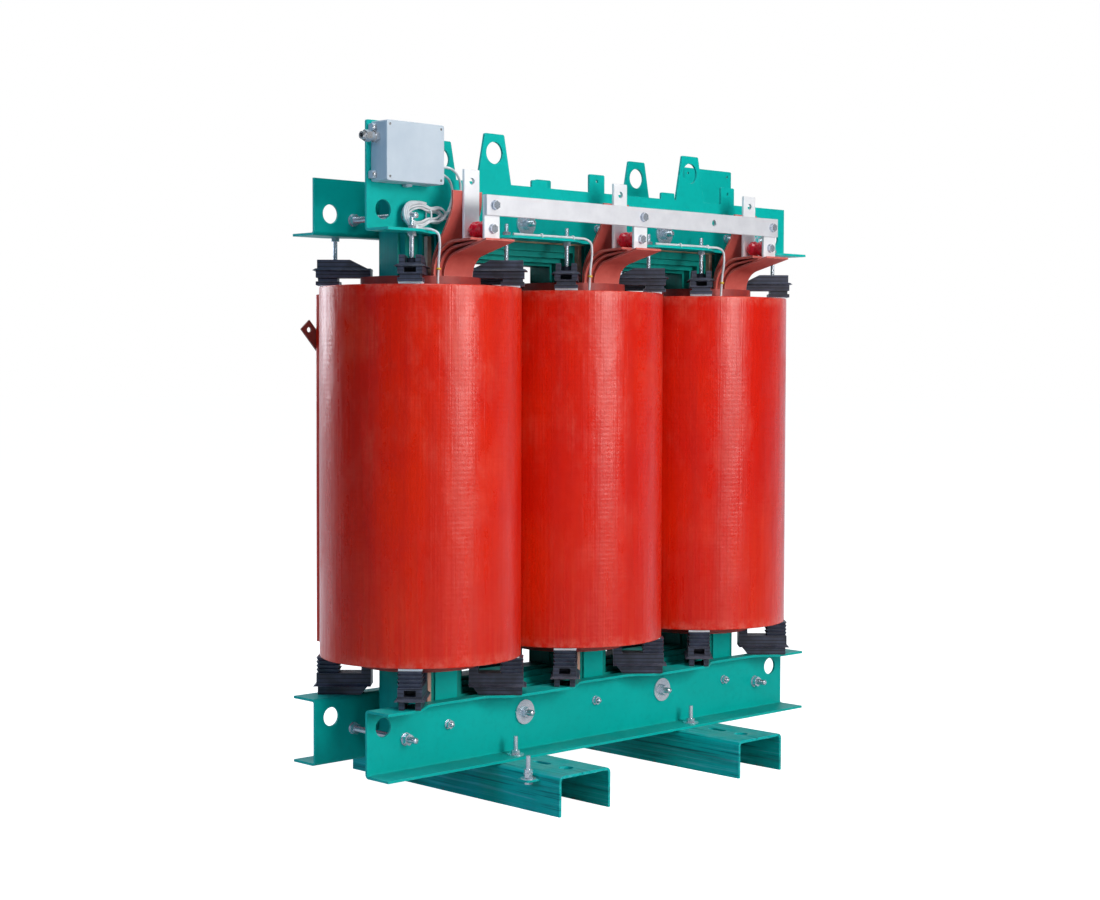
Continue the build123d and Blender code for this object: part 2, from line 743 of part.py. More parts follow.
def base_studs():
    """Bolts from under each channel's top up through the clamp's lower flange."""
    bolts = []
    nuts = []
    d = base_stud_diameter
    head = 0.65 * d
    seat = channel_height + clamp_plate
    for x in channel_places:
        for side in (-1.0, 1.0):
            y = side * base_stud_y
            under = channel_height - channel_wall
            shank = rod(d / 2.0, (x, y, under), (x, y, seat + base_stud_height))
            cap = hex_bar(d, (x, y, under - head), (x, y, under), bored=False)
            bolts.append(shank + cap)
            nuts.append(ring(base_washer_diameter / 2.0, d / 2.0 + fit_clearance / 2.0, (x, y, seat),
                             (x, y, seat + washer_thickness)))
            nuts.append(hex_bar(d, (x, y, seat + washer_thickness),
                                (x, y, seat + washer_thickness + nut_height_ratio * d)))
    return bolts, nuts


def earth_tab():
    """The earthing tab: a short flat welded to the left channel's outer side."""
    x = channel_places[0] - channel_width / 2.0
    y = -channel_length / 2.0 + earth_bolt_inset
    half = earth_tab_width / 2.0
    tab = block(x - earth_tab_reach, x, y - half, y + half, earth_tab_z, earth_tab_z + earth_tab_thickness)
    corners = tab.edges().filter_by(Axis.Z).group_by(Axis.X)[0]
    tab = fillet(corners, 6.0)
    middle = x - earth_tab_reach / 2.0
    return tab - rod(earth_bolt_diameter / 2.0 + 0.5, (middle, y, earth_tab_z - 1.0), (middle, y, earth_tab_z + earth_tab_thickness + 1.0))


def earth_bolt():
    """The earthing bolt through its tab, head down, with two washers and two nuts."""
    d = earth_bolt_diameter
    x = channel_places[0] - channel_width / 2.0 - earth_tab_reach / 2.0
    y = -channel_length / 2.0 + earth_bolt_inset
    nut = nut_height_ratio * d
    head = 0.65 * d
    under = earth_tab_z
    bolt = rod(d / 2.0, (x, y, under), (x, y, under + earth_bolt_length))
    bolt = bolt + hex_bar(d, (x, y, under - head), (x, y, under), bored=False)
    pieces = [bolt]
    z = earth_tab_z + earth_tab_thickness
    small = d * washer_ratio
    for size, length in ((earth_washer_diameter, washer_thickness), (0.0, nut), (small, washer_thickness), (0.0, nut)):
        if size:
            pieces.append(ring(size / 2.0, d / 2.0 + fit_clearance / 2.0, (x, y, z), (x, y, z + length)))
        else:
            pieces.append(hex_bar(d, (x, y, z), (x, y, z + length)))
        z = z + length
    return pieces


# ---------------------------------------------------------------- busbars

def upright_bar(x, y, z0, z1, hole_heights):
    """A flat bar on edge, its wide faces to the front, with round holes."""
    bar = block(x - bar_width / 2.0, x + bar_width / 2.0, -y - bar_thickness / 2.0, -y + bar_thickness / 2.0, z0, z1)
    bar = chamfer(bar.edges().filter_by(Axis.Z), bar_edge)
    for z in hole_heights:
        bar = bar - rod(terminal_hole_diameter / 2.0, (x, -y - bar_thickness, z), (x, -y + bar_thickness, z))
    return bar


def phase_bar(x):
    """The terminal bar of one phase, drilled at its top and for the standoff."""
    top = phase_bar_foot + phase_bar_height
    bar = upright_bar(x, phase_bar_y, phase_bar_foot + phase_foot_lift, top, [standoff_z])
    z = top - terminal_hole_drop
    near = -phase_bar_y - bar_thickness
    return bar - rod(lug_hole_diameter / 2.0, (x, near, z), (x, near + 2.0 * bar_thickness, z))


def neutral_riser(x):
    """The upright bar that carries the neutral bar, bolted at its top and at the standoff."""
    top = phase_bar_foot + riser_height
    return upright_bar(x, riser_y, phase_bar_foot - riser_foot_drop, top, [neutral_z, standoff_z])


def neutral_bar():
    """The long bar across the three risers, with one hole for the neutral cable."""
    end = leg_pitch + neutral_bar_overhang
    front = -riser_y - 1.5 * bar_thickness
    bar = block(-end, end, front, front + bar_thickness,
                neutral_z - neutral_bar_height / 2.0, neutral_z + neutral_bar_height / 2.0)
    bar = chamfer(bar.edges().filter_by(Axis.X), bar_edge)
    holes = [(x, terminal_hole_diameter) for x in leg_places] + [(neutral_hole_x, lug_hole_diameter)]
    for x, diameter in holes:
        bar = bar - rod(diameter / 2.0, (x, front - 1.0, neutral_z), (x, front + bar_thickness + 1.0, neutral_z))
    return bar


def standoff(x):
    """A ribbed insulator between the phase bar and the riser, threaded at both ends."""
    length = riser_y - phase_bar_y - bar_thickness
    y0 = -riser_y + bar_thickness / 2.0
    radii = [(0.0, 0.62), (0.08, 0.76), (0.2, 1.0), (0.36, 1.0), (0.46, 0.82), (0.54, 0.82),
             (0.64, 1.0), (0.8, 1.0), (0.92, 0.76), (1.0, 0.62)]
    points = [(0.0, 0.0)] + [(standoff_rib_radius * r, length * t) for t, r in radii] + [(0.0, length)]
    face = make_face(Polyline(*points, close=True))
    body = revolve(face, Axis.Y, 360.0)
    bore0 = rod(bar_bolt_diameter / 2.0 + fit_clearance / 2.0, (0, -1.0, 0), (0, standoff_bore, 0))
    bore1 = rod(bar_bolt_diameter / 2.0 + fit_clearance / 2.0, (0, length - standoff_bore, 0), (0, length + 1.0, 0))
    return Pos(x, y0, standoff_z) * (body - bore0 - bore1)


def bar_bolts():
    """Hexagon bolts through the neutral bar and the risers, and into the standoffs."""
    bolts = []
    nuts = []
    d = bar_bolt_diameter
    head = 0.65 * d
    front = -riser_y - 1.5 * bar_thickness
    riser_front = -riser_y - bar_thickness / 2.0
    for x in leg_places:
        bolts.append(bar_bolt((x, front, neutral_z), 2.0 * bar_thickness + 2.0 * washer_thickness + 14.0, d, head))
        back = -riser_y + bar_thickness / 2.0
        nuts.append(hex_bar(d, (x, back + washer_thickness, neutral_z), (x, back + washer_thickness + nut_height_ratio * d, neutral_z)))
        nuts.append(ring(d * washer_ratio / 2.0, d / 2.0 + fit_clearance / 2.0, (x, front - washer_thickness, neutral_z), (x, front, neutral_z)))
        nuts.append(ring(d * washer_ratio / 2.0, d / 2.0 + fit_clearance / 2.0, (x, back, neutral_z), (x, back + washer_thickness, neutral_z)))
        bolts.append(bar_bolt((x, riser_front, standoff_z), bar_thickness + standoff_bore - 2.0 + washer_thickness, d, head))
        nuts.append(ring(d * washer_ratio / 2.0, d / 2.0 + fit_clearance / 2.0, (x, riser_front - washer_thickness, standoff_z), (x, riser_front, standoff_z)))
        rear = -phase_bar_y + bar_thickness / 2.0
        tip = -phase_bar_y - bar_thickness / 2.0 - standoff_bore + 2.0
        screw = rod(d / 2.0, (x, rear, standoff_z), (x, tip, standoff_z))
        cap = hex_bar(d, (x, rear + head, standoff_z), (x, rear, standoff_z), bored=False)
        bolts.append(screw + cap)
    return bolts, nuts


def bar_bolt(seat, length, diameter, head):
    """A hexagon bolt along Y with its washer space before the seat."""
    x, y, z = seat
    face = y - washer_thickness
    shank = rod(diameter / 2.0, (x, face, z), (x, face + length, z))
    return shank + hex_bar(diameter, (x, face - head, z), (x, face, z), bored=False)


# ---------------------------------------------------------------- lead strips

def strip_profile(points, bend, x, foot_x, top_x, foot_y, top_y):
    """A flat strip bent along points (reach to the front, height), slanted in plan."""
    path = FilletPolyline(*points, radius=bend)
    face = trace(path, line_width=strip_thickness)
    plane = Plane(origin=(x - 2.0 * strip_width, 0, 0), x_dir=(0, -1, 0), z_dir=(-1, 0, 0))
    sheet = extrude(plane * face, amount=-4.0 * strip_width)
    half = strip_width / 2.0
    run = top_y - foot_y
    slope = (top_x - foot_x) / run
    spread = 2.0 * strip_thickness
    xa = foot_x - slope * spread
    xb = top_x + slope * spread
    ya = -foot_y + spread
    yb = -top_y - spread
    plan = make_face(Polyline((x + xa - half, ya), (x + xa + half, ya), (x + xb + half, yb), (x + xb - half, yb), close=True))
    column = extrude(Plane.XY.offset(lv_top) * plan, amount=400.0)
    return sheet & column


def front_strip(x):
    """The outer lead: from the coil's front edge up and out under the neutral riser."""
    y0 = lv_outer_radius - strip_start_inset
    y1 = riser_y + bar_thickness / 2.0 + strip_front_lip
    z0 = lv_top
    z1 = lv_top + strip_front_rise
    points = [(y0, z0), (y0, z1), (y1, z1 + (y1 - y0) * strip_front_slope)]
    return strip_profile(points, strip_front_bend, x, 0.0, strip_front_shift, y0, y1)


def inner_strip(x, row, bend, rise, slope, foot_shift, top_shift):
    """An inner lead: from a turn further in to the back of the neutral riser."""
    y0 = lv_outer_radius - strip_start_inset - row * strip_row_pitch
    y1 = riser_y - bar_thickness / 2.0
    z1 = lv_top + rise
    end = y1 + strip_thickness
    points = [(y0, lv_top), (y0, z1), (end, z1 + (end - y0) * slope)]
    strip = strip_profile(points, bend, x, -foot_shift, -top_shift, y0, y1)
    beyond = block(x - 3.0 * strip_width, x + 3.0 * strip_width, -y1 - 60.0, -y1, lv_top, lv_top + 300.0)
    return strip - beyond


def middle_strip(x):
    """The second lead, close behind the front one."""
    return inner_strip(x, 1.0, strip_middle_bend, strip_middle_rise, strip_middle_slope,
                       strip_middle_start, strip_middle_shift)


def back_strip(x):
    """The third lead, which bends higher and leans to the left."""
    return inner_strip(x, 2.0, strip_back_bend, strip_back_rise, strip_back_slope,
                       strip_back_start, strip_back_shift)


def phase_strip(x):
    """The tall lead: up and out from the coil, then flat against the back of the phase bar."""
    y0 = lv_outer_radius - strip_start_inset - 3.0 * strip_row_pitch
    y1 = phase_bar_y - bar_thickness / 2.0 - strip_thickness / 2.0
    z1 = lv_top + strip_phase_rise
    points = [(y0, lv_top), (y0, z1), (y1, z1 + (y1 - y0) * strip_phase_slope), (y1, strip_phase_top)]
    return strip_profile(points, strip_phase_bend, x, -strip_phase_start, -strip_phase_shift, y0, y1)


def riser_with_foot(x):
    """The neutral riser, its foot cut to the slope of the strip that it stands on."""
    riser = neutral_riser(x)
    parts = (riser - front_strip(x)).solids()
    return max(parts, key=lambda piece: piece.volume)


# ---------------------------------------------------------------- high-voltage side

def hv_lug(x, turned_over):
    """A flat copper terminal screwed to the tapping face, pointing up and to the left.

    The lower terminal of each coil is the upper one turned half round on the face."""
    half = hv_lug_width / 2.0
    plate = Rectangle(hv_lug_length, hv_lug_width, align=(Align.MIN, Align.CENTER))
    plate = plate - Pos(half, 0) * Circle(hv_lug_screw / 2.0 + fit_clearance / 2.0)
    plate = plate - Pos(hv_lug_length - half, 0) * Circle(hv_lug_hole / 2.0)
    lift = (hv_height / 2.0) - hv_lug_inset
    drawn = Pos(-hv_lug_side, lift) * (Rot(0, 0, 180.0 - hv_lug_angle) * plate)
    if turned_over:
        drawn = Rot(0, 0, 180.0) * drawn
    plane = Plane(origin=(x, hv_pad_reach, (hv_bottom + hv_top) / 2.0), x_dir=(1, 0, 0), z_dir=(0, -1, 0))
    return extrude(plane * drawn, amount=-hv_lug_thickness)


def hv_lug_bolt(x, turned_over):
    """The bolt that holds a terminal to the tapping face."""
    sign = -1.0 if turned_over else 1.0
    half = hv_lug_width / 2.0
    angle = math.radians(180.0 - hv_lug_angle)
    px = x + sign * (-hv_lug_side + half * math.cos(angle))
    pz = (hv_bottom + hv_top) / 2.0 + sign * (hv_height / 2.0 - hv_lug_inset + half * math.sin(angle))
    face = hv_pad_reach + hv_lug_thickness
    shank = rod(hv_lug_screw / 2.0, (px, hv_pad_reach, pz), (px, face, pz))
    return shank + hex_bar(hv_lug_screw, (px, face, pz), (px, face + 0.65 * hv_lug_screw, pz), bored=False)


def tap_studs(x):
    """Two columns of threaded bosses and the nuts that hold the tapping link."""
    studs = []
    middle = (hv_bottom + hv_top) / 2.0
    for row in range(tap_rows):
        z = middle + (row - (tap_rows - 1) / 2.0) * tap_pitch
        for dx in (-tap_spread / 2.0, tap_spread / 2.0):
            boss = rod(tap_boss_diameter / 2.0, (x + dx, hv_pad_reach, z), (x + dx, hv_pad_reach + tap_boss_height, z))
            studs.append(boss)
    return studs


def tap_link(x):
    """The flat bar that joins two tappings."""
    middle = (hv_bottom + hv_top) / 2.0
    y = hv_pad_reach + tap_boss_height
    half = tap_spread / 2.0 + tap_link_end
    bar = block(x - half, x + half, y, y + hv_lug_thickness, middle - tap_link_end, middle + tap_link_end)
    return fillet(bar.edges().filter_by(Axis.Y), tap_link_end - 1.0)


def tap_link_bolts(x):
    """The bolt heads on either end of a tapping link."""
    middle = (hv_bottom + hv_top) / 2.0
    y = hv_pad_reach + tap_boss_height + hv_lug_thickness
    heads = []
    for dx in (-tap_spread / 2.0, tap_spread / 2.0):
        heads.append(hex_bar(tap_bolt, (x + dx, y, middle), (x + dx, y + 0.65 * tap_bolt, middle), bored=False))
    return heads


# ---------------------------------------------------------------- control box

def box_left():
    return -clamp_half_length + box_inset


def rounded_box(x0, x1, y0, y1, z0, z1, radius):
    """A cast housing with its four long corners rounded."""
    solid = block(x0, x1, y0, y1, z0, z1)
    return fillet(solid.edges().filter_by(Axis.Y), radius)


def control_box_body():
    """The open back half of the control box, with four corner bosses and a gland hole."""
    x0 = box_left()
    x1 = x0 + box_width
    z1 = crown_top - box_drop
    z0 = z1 - box_height
    y1 = -web_outer
    y0 = y1 - box_body_depth
    body = rounded_box(x0, x1, y0, y1, z0, z1, box_corner)
    hollow = block(x0 + box_wall, x1 - box_wall, y0 - 1.0, y1 - box_wall, z0 + box_wall, z1 - box_wall)
    body = body - hollow
    gland = rod(gland_diameter / 2.0, (x0 - 1.0, (y0 + y1) / 2.0, z1 - gland_drop), (x0 + box_wall + 1.0, (y0 + y1) / 2.0, z1 - gland_drop))
    return body - gland


def control_box_lid():
    """The flat lid with rounded corners and a small recess at each corner screw."""
    x0 = box_left()
    x1 = x0 + box_width
    z1 = crown_top - box_drop
    z0 = z1 - box_height
    y1 = -web_outer - box_body_depth
    y0 = y1 - box_lid_depth
    lid = rounded_box(x0, x1, y0, y1, z0, z1, box_corner)
    rim = [e for e in lid.edges() if abs(e.center().Y - y0) < 0.01]
    lid = fillet(rim, 2.0)
    hollow = block(x0 + box_wall, x1 - box_wall, y0 + box_wall, y1 + 1.0, z0 + box_wall, z1 - box_wall)
    lid = lid - hollow
    for x in (x0 + box_screw_inset, x1 - box_screw_inset):
        for z in (z0 + box_screw_inset, z1 - box_screw_inset):
            lid = lid - rod(box_screw_diameter / 2.0, (x, y0 - 1.0, z), (x, y0 + 2.5, z))
    return lid


def box_screws():
    """The heads of the lid's four screws, seated in their recesses."""
    x0 = box_left()
    x1 = x0 + box_width
    z1 = crown_top - box_drop
    z0 = z1 - box_height
    y0 = -web_outer - box_body_depth - box_lid_depth
    heads = []
    for x in (x0 + box_screw_inset, x1 - box_screw_inset):
        for z in (z0 + box_screw_inset, z1 - box_screw_inset):
            heads.append(rod(box_screw_diameter / 2.0 - 0.3, (x, y0 + 2.5, z), (x, y0 + 0.4, z)))
    return heads


def cable_gland():
    """A metal gland on the box's left side: flange nut, barrel, cap nut and open mouth."""
    x = box_left()
    y = -web_outer - box_body_depth / 2.0
    z = crown_top - box_drop - gland_drop
    d = gland_diameter
    body = rod(d / 2.0 - 0.2, (x + box_wall, y, z), (x - 6.0, y, z))
    nut = hex_bar(d * 0.82, (x, y, z), (x - 0.2 * gland_length, y, z), bored=False)
    neck = rod(d * 0.56, (x - 0.2 * gland_length, y, z), (x - 0.45 * gland_length, y, z))
    cap = hex_bar(d * 0.78, (x - 0.45 * gland_length, y, z), (x - 0.8 * gland_length, y, z), bored=False)
    tip = rod(d * 0.46, (x - 0.8 * gland_length, y, z), (x - gland_length, y, z))
    mouth = rod(d * 0.28, (x - gland_length - 1.0, y, z), (x - 0.5 * gland_length, y, z))
    return body + nut + neck + cap + tip - mouth


# ---------------------------------------------------------------- sensor cables

def route_radii(points):
    """Arc radii as large as the runs allow: 0.45 of the shorter run over tan(half the turn)."""
    radii = []
    for a, b, c in zip(points, points[1:], points[2:]):
        before = Vector(*b) - Vector(*a)
        after = Vector(*c) - Vector(*b)
        turn = math.radians(before.get_angle(after))
        radii.append(0.45 * min(before.length, after.length) / math.tan(turn / 2.0))
    return radii


def cable(name, points):
    """A round cable swept along straight runs joined by tangent arcs."""
    radii = route_radii(points)
    path = FilletPolyline(*points, radius=radii)
    start = Plane(origin=path @ 0, z_dir=path % 0)
    tube = sweep(start * Circle(cable_diameter / 2.0), path=path)
    area = math.pi * (cable_diameter / 2.0) ** 2
    print(name, "radii", [round(r, 1) for r in radii], "volume ratio", round(tube.volume / (area * path.length), 4))
    return tube


def drop_route(x, start):
    """A sensor cable's way off the flange and down into the duct between the coils."""
    return start + [(x - 98.0, -184.0, 1424.0), (x - 91.0, -180.0, 1394.0), (x - 85.0, -168.0, 1361.0),
                    (x - 80.0, -160.0, 1325.0), (x - 78.0, -156.0, 1288.0)]


def flange_route(x):
    """Along the flange's top edge from the riser of the coil before, tied as it goes."""
    level = upper_flange_top + cable_diameter / 2.0 + 0.2
    return [(x - 372.0, -179.0, level), (x - 292.0, -183.0, level), (x - 222.0, -181.0, level + 0.6),
            (x - 160.0, -185.0, level), (x - 122.0, -187.0, level - 0.5)]


def bundle_route(x):
    """From the tied bundle on the clamp's web over the flange's notch."""
    return [(x - 131.0, -128.0, 1448.0), (x - 124.0, -143.0, 1434.0), (x - 113.0, -168.0, 1433.8)]


def cable_bundle():
    """The outer shape of the spare cable, laid in a flat loop and tied on the web."""
    plane = Plane(origin=(bundle_x, -web_outer - 1.0, bundle_z), x_dir=(1, 0, 0), z_dir=(0, -1, 0))
    outline = SlotOverall(bundle_length, bundle_height)
    inner = SlotOverall(bundle_length - 2.0 * bundle_section, bundle_height - 2.0 * bundle_section)
    loop = extrude(plane * (outline - inner), amount=bundle_section)
    return fillet(loop.edges(), 0.42 * bundle_section)


def box_routes():
    """Two cables from the control box's side, over and down to the tied bundle."""
    x = box_left() + box_width
    upper = [(x + 1.0, -126.0, 1585.0), (x + 32.0, -126.5, 1592.0), (x + 66.0, -127.0, 1587.0), (x + 86.0, -128.0, 1561.0),
             (x + 88.0, -127.0, 1524.0), (x + 74.0, -123.0, 1494.0), (x + 49.0, -117.0, 1480.0)]
    lower = [(x + 1.0, -126.0, 1573.0), (x + 30.0, -125.0, 1573.5), (x + 55.0, -124.0, 1561.0), (x + 66.0, -123.0, 1531.0),
             (x + 62.0, -119.0, 1500.0), (x + 48.5, -116.0, 1473.0)]
    return [upper, lower]


# ---------------------------------------------------------------- the whole

def build():
    """Builds every node and writes it."""
    os.makedirs("parts", exist_ok=True)
    front_lower = lower_clamp()
    front_upper = upper_clamp()
    save("lower_clamp_front", front_lower)
    save("lower_clamp_rear", turned(front_lower))
    save("upper_clamp_front", front_upper)
    save("upper_clamp_rear", turned(front_upper))
    save("bottom_yoke", yoke(lower_yoke_z))
    save("top_yoke", yoke(upper_yoke_z))
    save("leg_tie_plates", tie_plates())
    save("leg_packing_strips", packing_strips())
    save("yoke_insulation", insulation_boards())
    save("base_channel_left", base_channel(channel_places[0]) + earth_tab())
    save("base_channel_right", base_channel(channel_places[1]))
    lower = bottom_support()
    upper = top_support()
    pad = coil_pad(coil_pad_thickness)
    pads = []
    for phase, x in zip(phase_names, leg_places):
        save("core_leg_" + phase, core_leg(x))
        save("hv_coil_" + phase, hv_coil(x))
        save("lv_coil_" + phase, lv_coil(x))
        save("bottom_supports_" + phase, [placed(lower, x, a, lower_flange_top) for a in support_angles])
        save("top_supports_" + phase, [placed(upper, x, a, hv_top + coil_pad_thickness) for a in support_angles])
        pads += [placed(pad, x, a, hv_bottom - coil_pad_thickness) for a in support_angles]
        pads += [placed(pad, x, a, hv_top) for a in support_angles]
        save("lv_leads_" + phase, [front_strip(x), middle_strip(x), back_strip(x), phase_strip(x)])
    save("coil_pads", pads)
    save("phase_bars", [phase_bar(x) for x in leg_places])
    save("neutral_risers", [riser_with_foot(x) for x in leg_places])
    save("pressure_screws", pressure_screws())
    save("pressure_nuts", pressure_nuts())
    yoke_places = [(x, z) for x in (-leg_pitch / 2.0, leg_pitch / 2.0) for z in (lower_yoke_z, upper_yoke_z)]
    studs, washers, nuts = cross_bolts(yoke_places, yoke_bolt_diameter, bolt_end_length, yoke_washer_diameter,
                                       yoke_washer_thickness, False)
    save("yoke_bolts", studs)
    rod_places = [(x, z) for x in (-tie_rod_x, tie_rod_x) for z in (lower_tie_rod_z, upper_tie_rod_z)]
    rods, rod_washers, rod_nuts = cross_bolts(rod_places, tie_rod_diameter, tie_rod_end,
                                              tie_rod_diameter * washer_ratio, washer_thickness, True)
    save("tie_rods", rods)
    bolts, leg_washers, leg_nuts = leg_bolts()
    save("leg_bolts", bolts)
    save("clamp_washers", washers + rod_washers + leg_washers)
    save("clamp_nuts", nuts + rod_nuts + leg_nuts)
    bolts, nuts = base_studs()
    save("base_bolts", bolts)
    save("base_bolt_nuts", nuts)
    save("earth_bolt", earth_bolt())
    save("neutral_bar", neutral_bar())
    save("standoff_insulators", [standoff(x) for x in leg_places])
    bolts, nuts = bar_bolts()
    save("busbar_bolts", bolts)
    save("busbar_nuts", nuts)
    save("hv_terminals", [hv_lug(x, turned_over) for x in leg_places for turned_over in (False, True)])
    heads = [hv_lug_bolt(x, turned_over) for x in leg_places for turned_over in (False, True)]
    bosses = []
    links = []
    for x in leg_places:
        bosses += tap_studs(x)
        links.append(tap_link(x))
        heads += tap_link_bolts(x)
    save("tap_bosses", bosses)
    save("tap_links", links)
    save("hv_bolts", heads)
    save("control_box_body", control_box_body())
    save("control_box_lid", control_box_lid())
    save("box_screws", box_screws())
    save("cable_gland", cable_gland())
    for phase, x in zip(phase_names, leg_places):
        start = bundle_route(x) if phase == "left" else flange_route(x)
        save("sensor_cable_" + phase, cable("sensor_cable_" + phase, drop_route(x, start)))
    save("box_cables", [cable("box_cable", points) for points in box_routes()])
    save("cable_bundle", cable_bundle())


build()
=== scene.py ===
# %% [markdown]
# # A dry type transformer
# Three cast coils stand in a row on a stepped steel core. Folded clamps squeeze the
# core at the top and the bottom, and two inverted channels carry the whole on the
# floor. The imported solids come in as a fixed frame. This file gives each of them the
# finish of the real thing and adds what is too fine for the solids: threads, ties,
# wound wire and the lugs of the control box. The scene begins by loading that frame.

# %% Loading the frame
import math
import bpy
import bmesh
import numpy as np
from mathutils import Matrix, Vector


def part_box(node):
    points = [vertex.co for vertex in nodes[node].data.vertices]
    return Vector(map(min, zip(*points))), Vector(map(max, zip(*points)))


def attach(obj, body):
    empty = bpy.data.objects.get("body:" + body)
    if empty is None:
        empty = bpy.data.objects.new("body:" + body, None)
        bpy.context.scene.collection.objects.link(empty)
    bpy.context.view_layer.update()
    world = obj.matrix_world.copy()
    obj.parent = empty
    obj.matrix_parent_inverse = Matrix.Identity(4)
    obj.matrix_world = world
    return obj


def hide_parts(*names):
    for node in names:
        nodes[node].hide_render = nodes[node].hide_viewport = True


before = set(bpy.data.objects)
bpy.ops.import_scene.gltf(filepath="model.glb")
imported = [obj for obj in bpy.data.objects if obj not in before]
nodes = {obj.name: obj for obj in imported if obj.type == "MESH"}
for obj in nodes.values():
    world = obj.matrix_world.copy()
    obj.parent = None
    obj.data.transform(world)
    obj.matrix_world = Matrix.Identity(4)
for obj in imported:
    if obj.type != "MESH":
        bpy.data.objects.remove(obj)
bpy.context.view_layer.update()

# %% [markdown]
# ## The camera
# The viewer stands before the left end of the transformer, at about the height of
# the coils' shoulders, five metres off. A long lens keeps the uprights parallel. The
# camera's three axes are worked out from its heading, its pitch and a trace of roll,
# because a matrix says exactly where it looks and needs no tracking constraint.

# %% The camera
camera_place = Vector((-3.73028, -3.80960, 1.09228))
heading, pitch, roll = 0.80301, -0.04068, 0.00309

forward = Vector((math.cos(heading) * math.cos(pitch),
                  math.sin(heading) * math.cos(pitch),
                  math.sin(pitch)))
level = Vector((math.sin(heading), -math.cos(heading), 0.0))
upward = level.cross(forward)
right = level * math.cos(roll) + upward * math.sin(roll)
upward = upward * math.cos(roll) - level * math.sin(roll)

camera_data = bpy.data.cameras.new("camera")
camera_data.lens = 64.30
camera_data.sensor_width = 36.0
camera_data.clip_end = 200.0
camera = bpy.data.objects.new("camera", camera_data)
bpy.context.scene.collection.objects.link(camera)
camera_axes = Matrix((right, upward, -forward)).transposed().to_4x4()
camera.matrix_world = Matrix.Translation(camera_place) @ camera_axes
bpy.context.scene.camera = camera
bpy.context.scene.view_settings.view_transform = "Standard"
print("camera", tuple(round(v, 3) for v in camera_place), "lens", round(camera_data.lens, 2))

# %% [markdown]
# ## Lamps
# A white studio. The main lamp is a tall softbox in front of the row, so each round
# coil goes from deep red on its left to full red on its right, with one tall
# highlight between. A small one above the viewer's brow adds a second, weaker
# highlight, and one overhead lights the tops. A bluish lamp far on the left fills
# the ends of the clamps and the side of the control box. It stays out of the
# reflections, so it leaves no streak on the coils. The last, behind, lights the back.

# %% Lamps
def softbox(name, place, target, width, height, watts, tint):
    """A rectangular lamp at place that faces target."""
    data = bpy.data.lights.new(name, "AREA")
    data.shape = "RECTANGLE"
    data.size, data.size_y = width, height
    data.energy = watts
    data.color = tint
    lamp = bpy.data.objects.new(name, data)
    lamp.location = place
    lamp.rotation_euler = (Vector(target) - Vector(place)).to_track_quat("-Z", "Y").to_euler()
    bpy.context.scene.collection.objects.link(lamp)
    return lamp


aim = (0.0, 0.0, 0.85)
white, warm, cool = (1.0, 1.0, 1.0), (1.0, 0.970, 0.925), (0.86, 0.92, 1.0)
blue, pale_blue = (0.20, 0.62, 1.0), (0.86, 0.93, 1.0)
softbox("front_lamp", (0.3, -5.6, 2.3), aim, 2.2, 3.0, 246.0, warm)
softbox("brow_lamp", (-3.3, -3.5, 3.5), aim, 0.45, 1.3, 28.0, cool)
softbox("top_lamp", (-0.6, -1.2, 4.6), aim, 2.6, 1.6, 60.0, white)
left_lamp = softbox("left_lamp", (-5.6, 0.2, 2.2), aim, 1.2, 2.6, 52.0, blue)
left_lamp.visible_glossy = False
softbox("rim_lamp", (-1.2, 5.6, 2.4), aim, 2.6, 2.6, 165.0, pale_blue)
print("lamps", len(bpy.data.lights))

# %% [markdown]
# ## Shader nodes in one line
# Every material, and the world, is a tree of nodes. Making each node takes several
# lines in plain Blender, so a small helper makes one, fills its inputs and gives
# back the output that the next node needs. An input takes either a plain number
# or the output of another node, and the helper finds out which.

# %% Node helper
def put(tree, socket, value):
    """Links another node's output to the socket, or sets a plain value on it."""
    if isinstance(value, bpy.types.NodeSocket):
        tree.links.new(value, socket)
    else:
        socket.default_value = value


def wire(tree, kind, inputs=None, out=0, **settings):
    """Adds one shader node, fills its inputs with numbers or other nodes' outputs, and returns an output.

    kind is the node's type without its first word, and settings are the node's own switches."""
    node = tree.nodes.new("ShaderNode" + kind)
    for key, value in settings.items():
        setattr(node, key, value)
    for key, value in (inputs or {}).items():
        put(tree, node.inputs[key], value)
    return node.outputs[out]


print("node helper ready,", len(bpy.data.lights), "lamps placed")

# %% [markdown]
# ## World
# What lies round the object depends on the kind of ray. Rays from the camera find
# plain white. Rays that light matt surfaces find a dim blue-white. Reflections
# find white behind the row and nearly nothing in front, which leaves a thin pale
# rim on the round coils and keeps their faces deep red. Behind is a fixed direction
# of the room: the dot product of the ray with it goes from -1 to 1.

# %% World
behind_row = (0.70, 0.71, 0.0)
paper_white = (1.0, 1.0, 1.0, 1.0)
mirror_tint = (0.80, 0.90, 1.0, 1.0)
world = bpy.data.worlds.new("studio")
bpy.context.scene.world = world
world.use_nodes = True
sky = world.node_tree
sky.nodes.clear()
toward = wire(sky, "VectorMath", {0: wire(sky, "TexCoord", out="Generated"), 1: behind_row},
              out="Value", operation="DOT_PRODUCT")
behind = wire(sky, "MapRange", {"Value": toward, "From Min": 0.40, "From Max": 0.85,
                                "To Min": 0.03, "To Max": 1.0})
glossy = wire(sky, "LightPath", out="Is Glossy Ray")
straight = wire(sky, "Math", {0: wire(sky, "LightPath", out="Is Camera Ray"),
                              1: wire(sky, "LightPath", out="Is Transmission Ray")}, operation="MAXIMUM")
fill_light = wire(sky, "Background", {"Color": (0.74, 0.88, 1.0, 1.0), "Strength": 0.13})
mirrored = wire(sky, "Background", {"Color": mirror_tint, "Strength": behind})
backdrop = wire(sky, "Background", {"Color": paper_white, "Strength": 1.0})
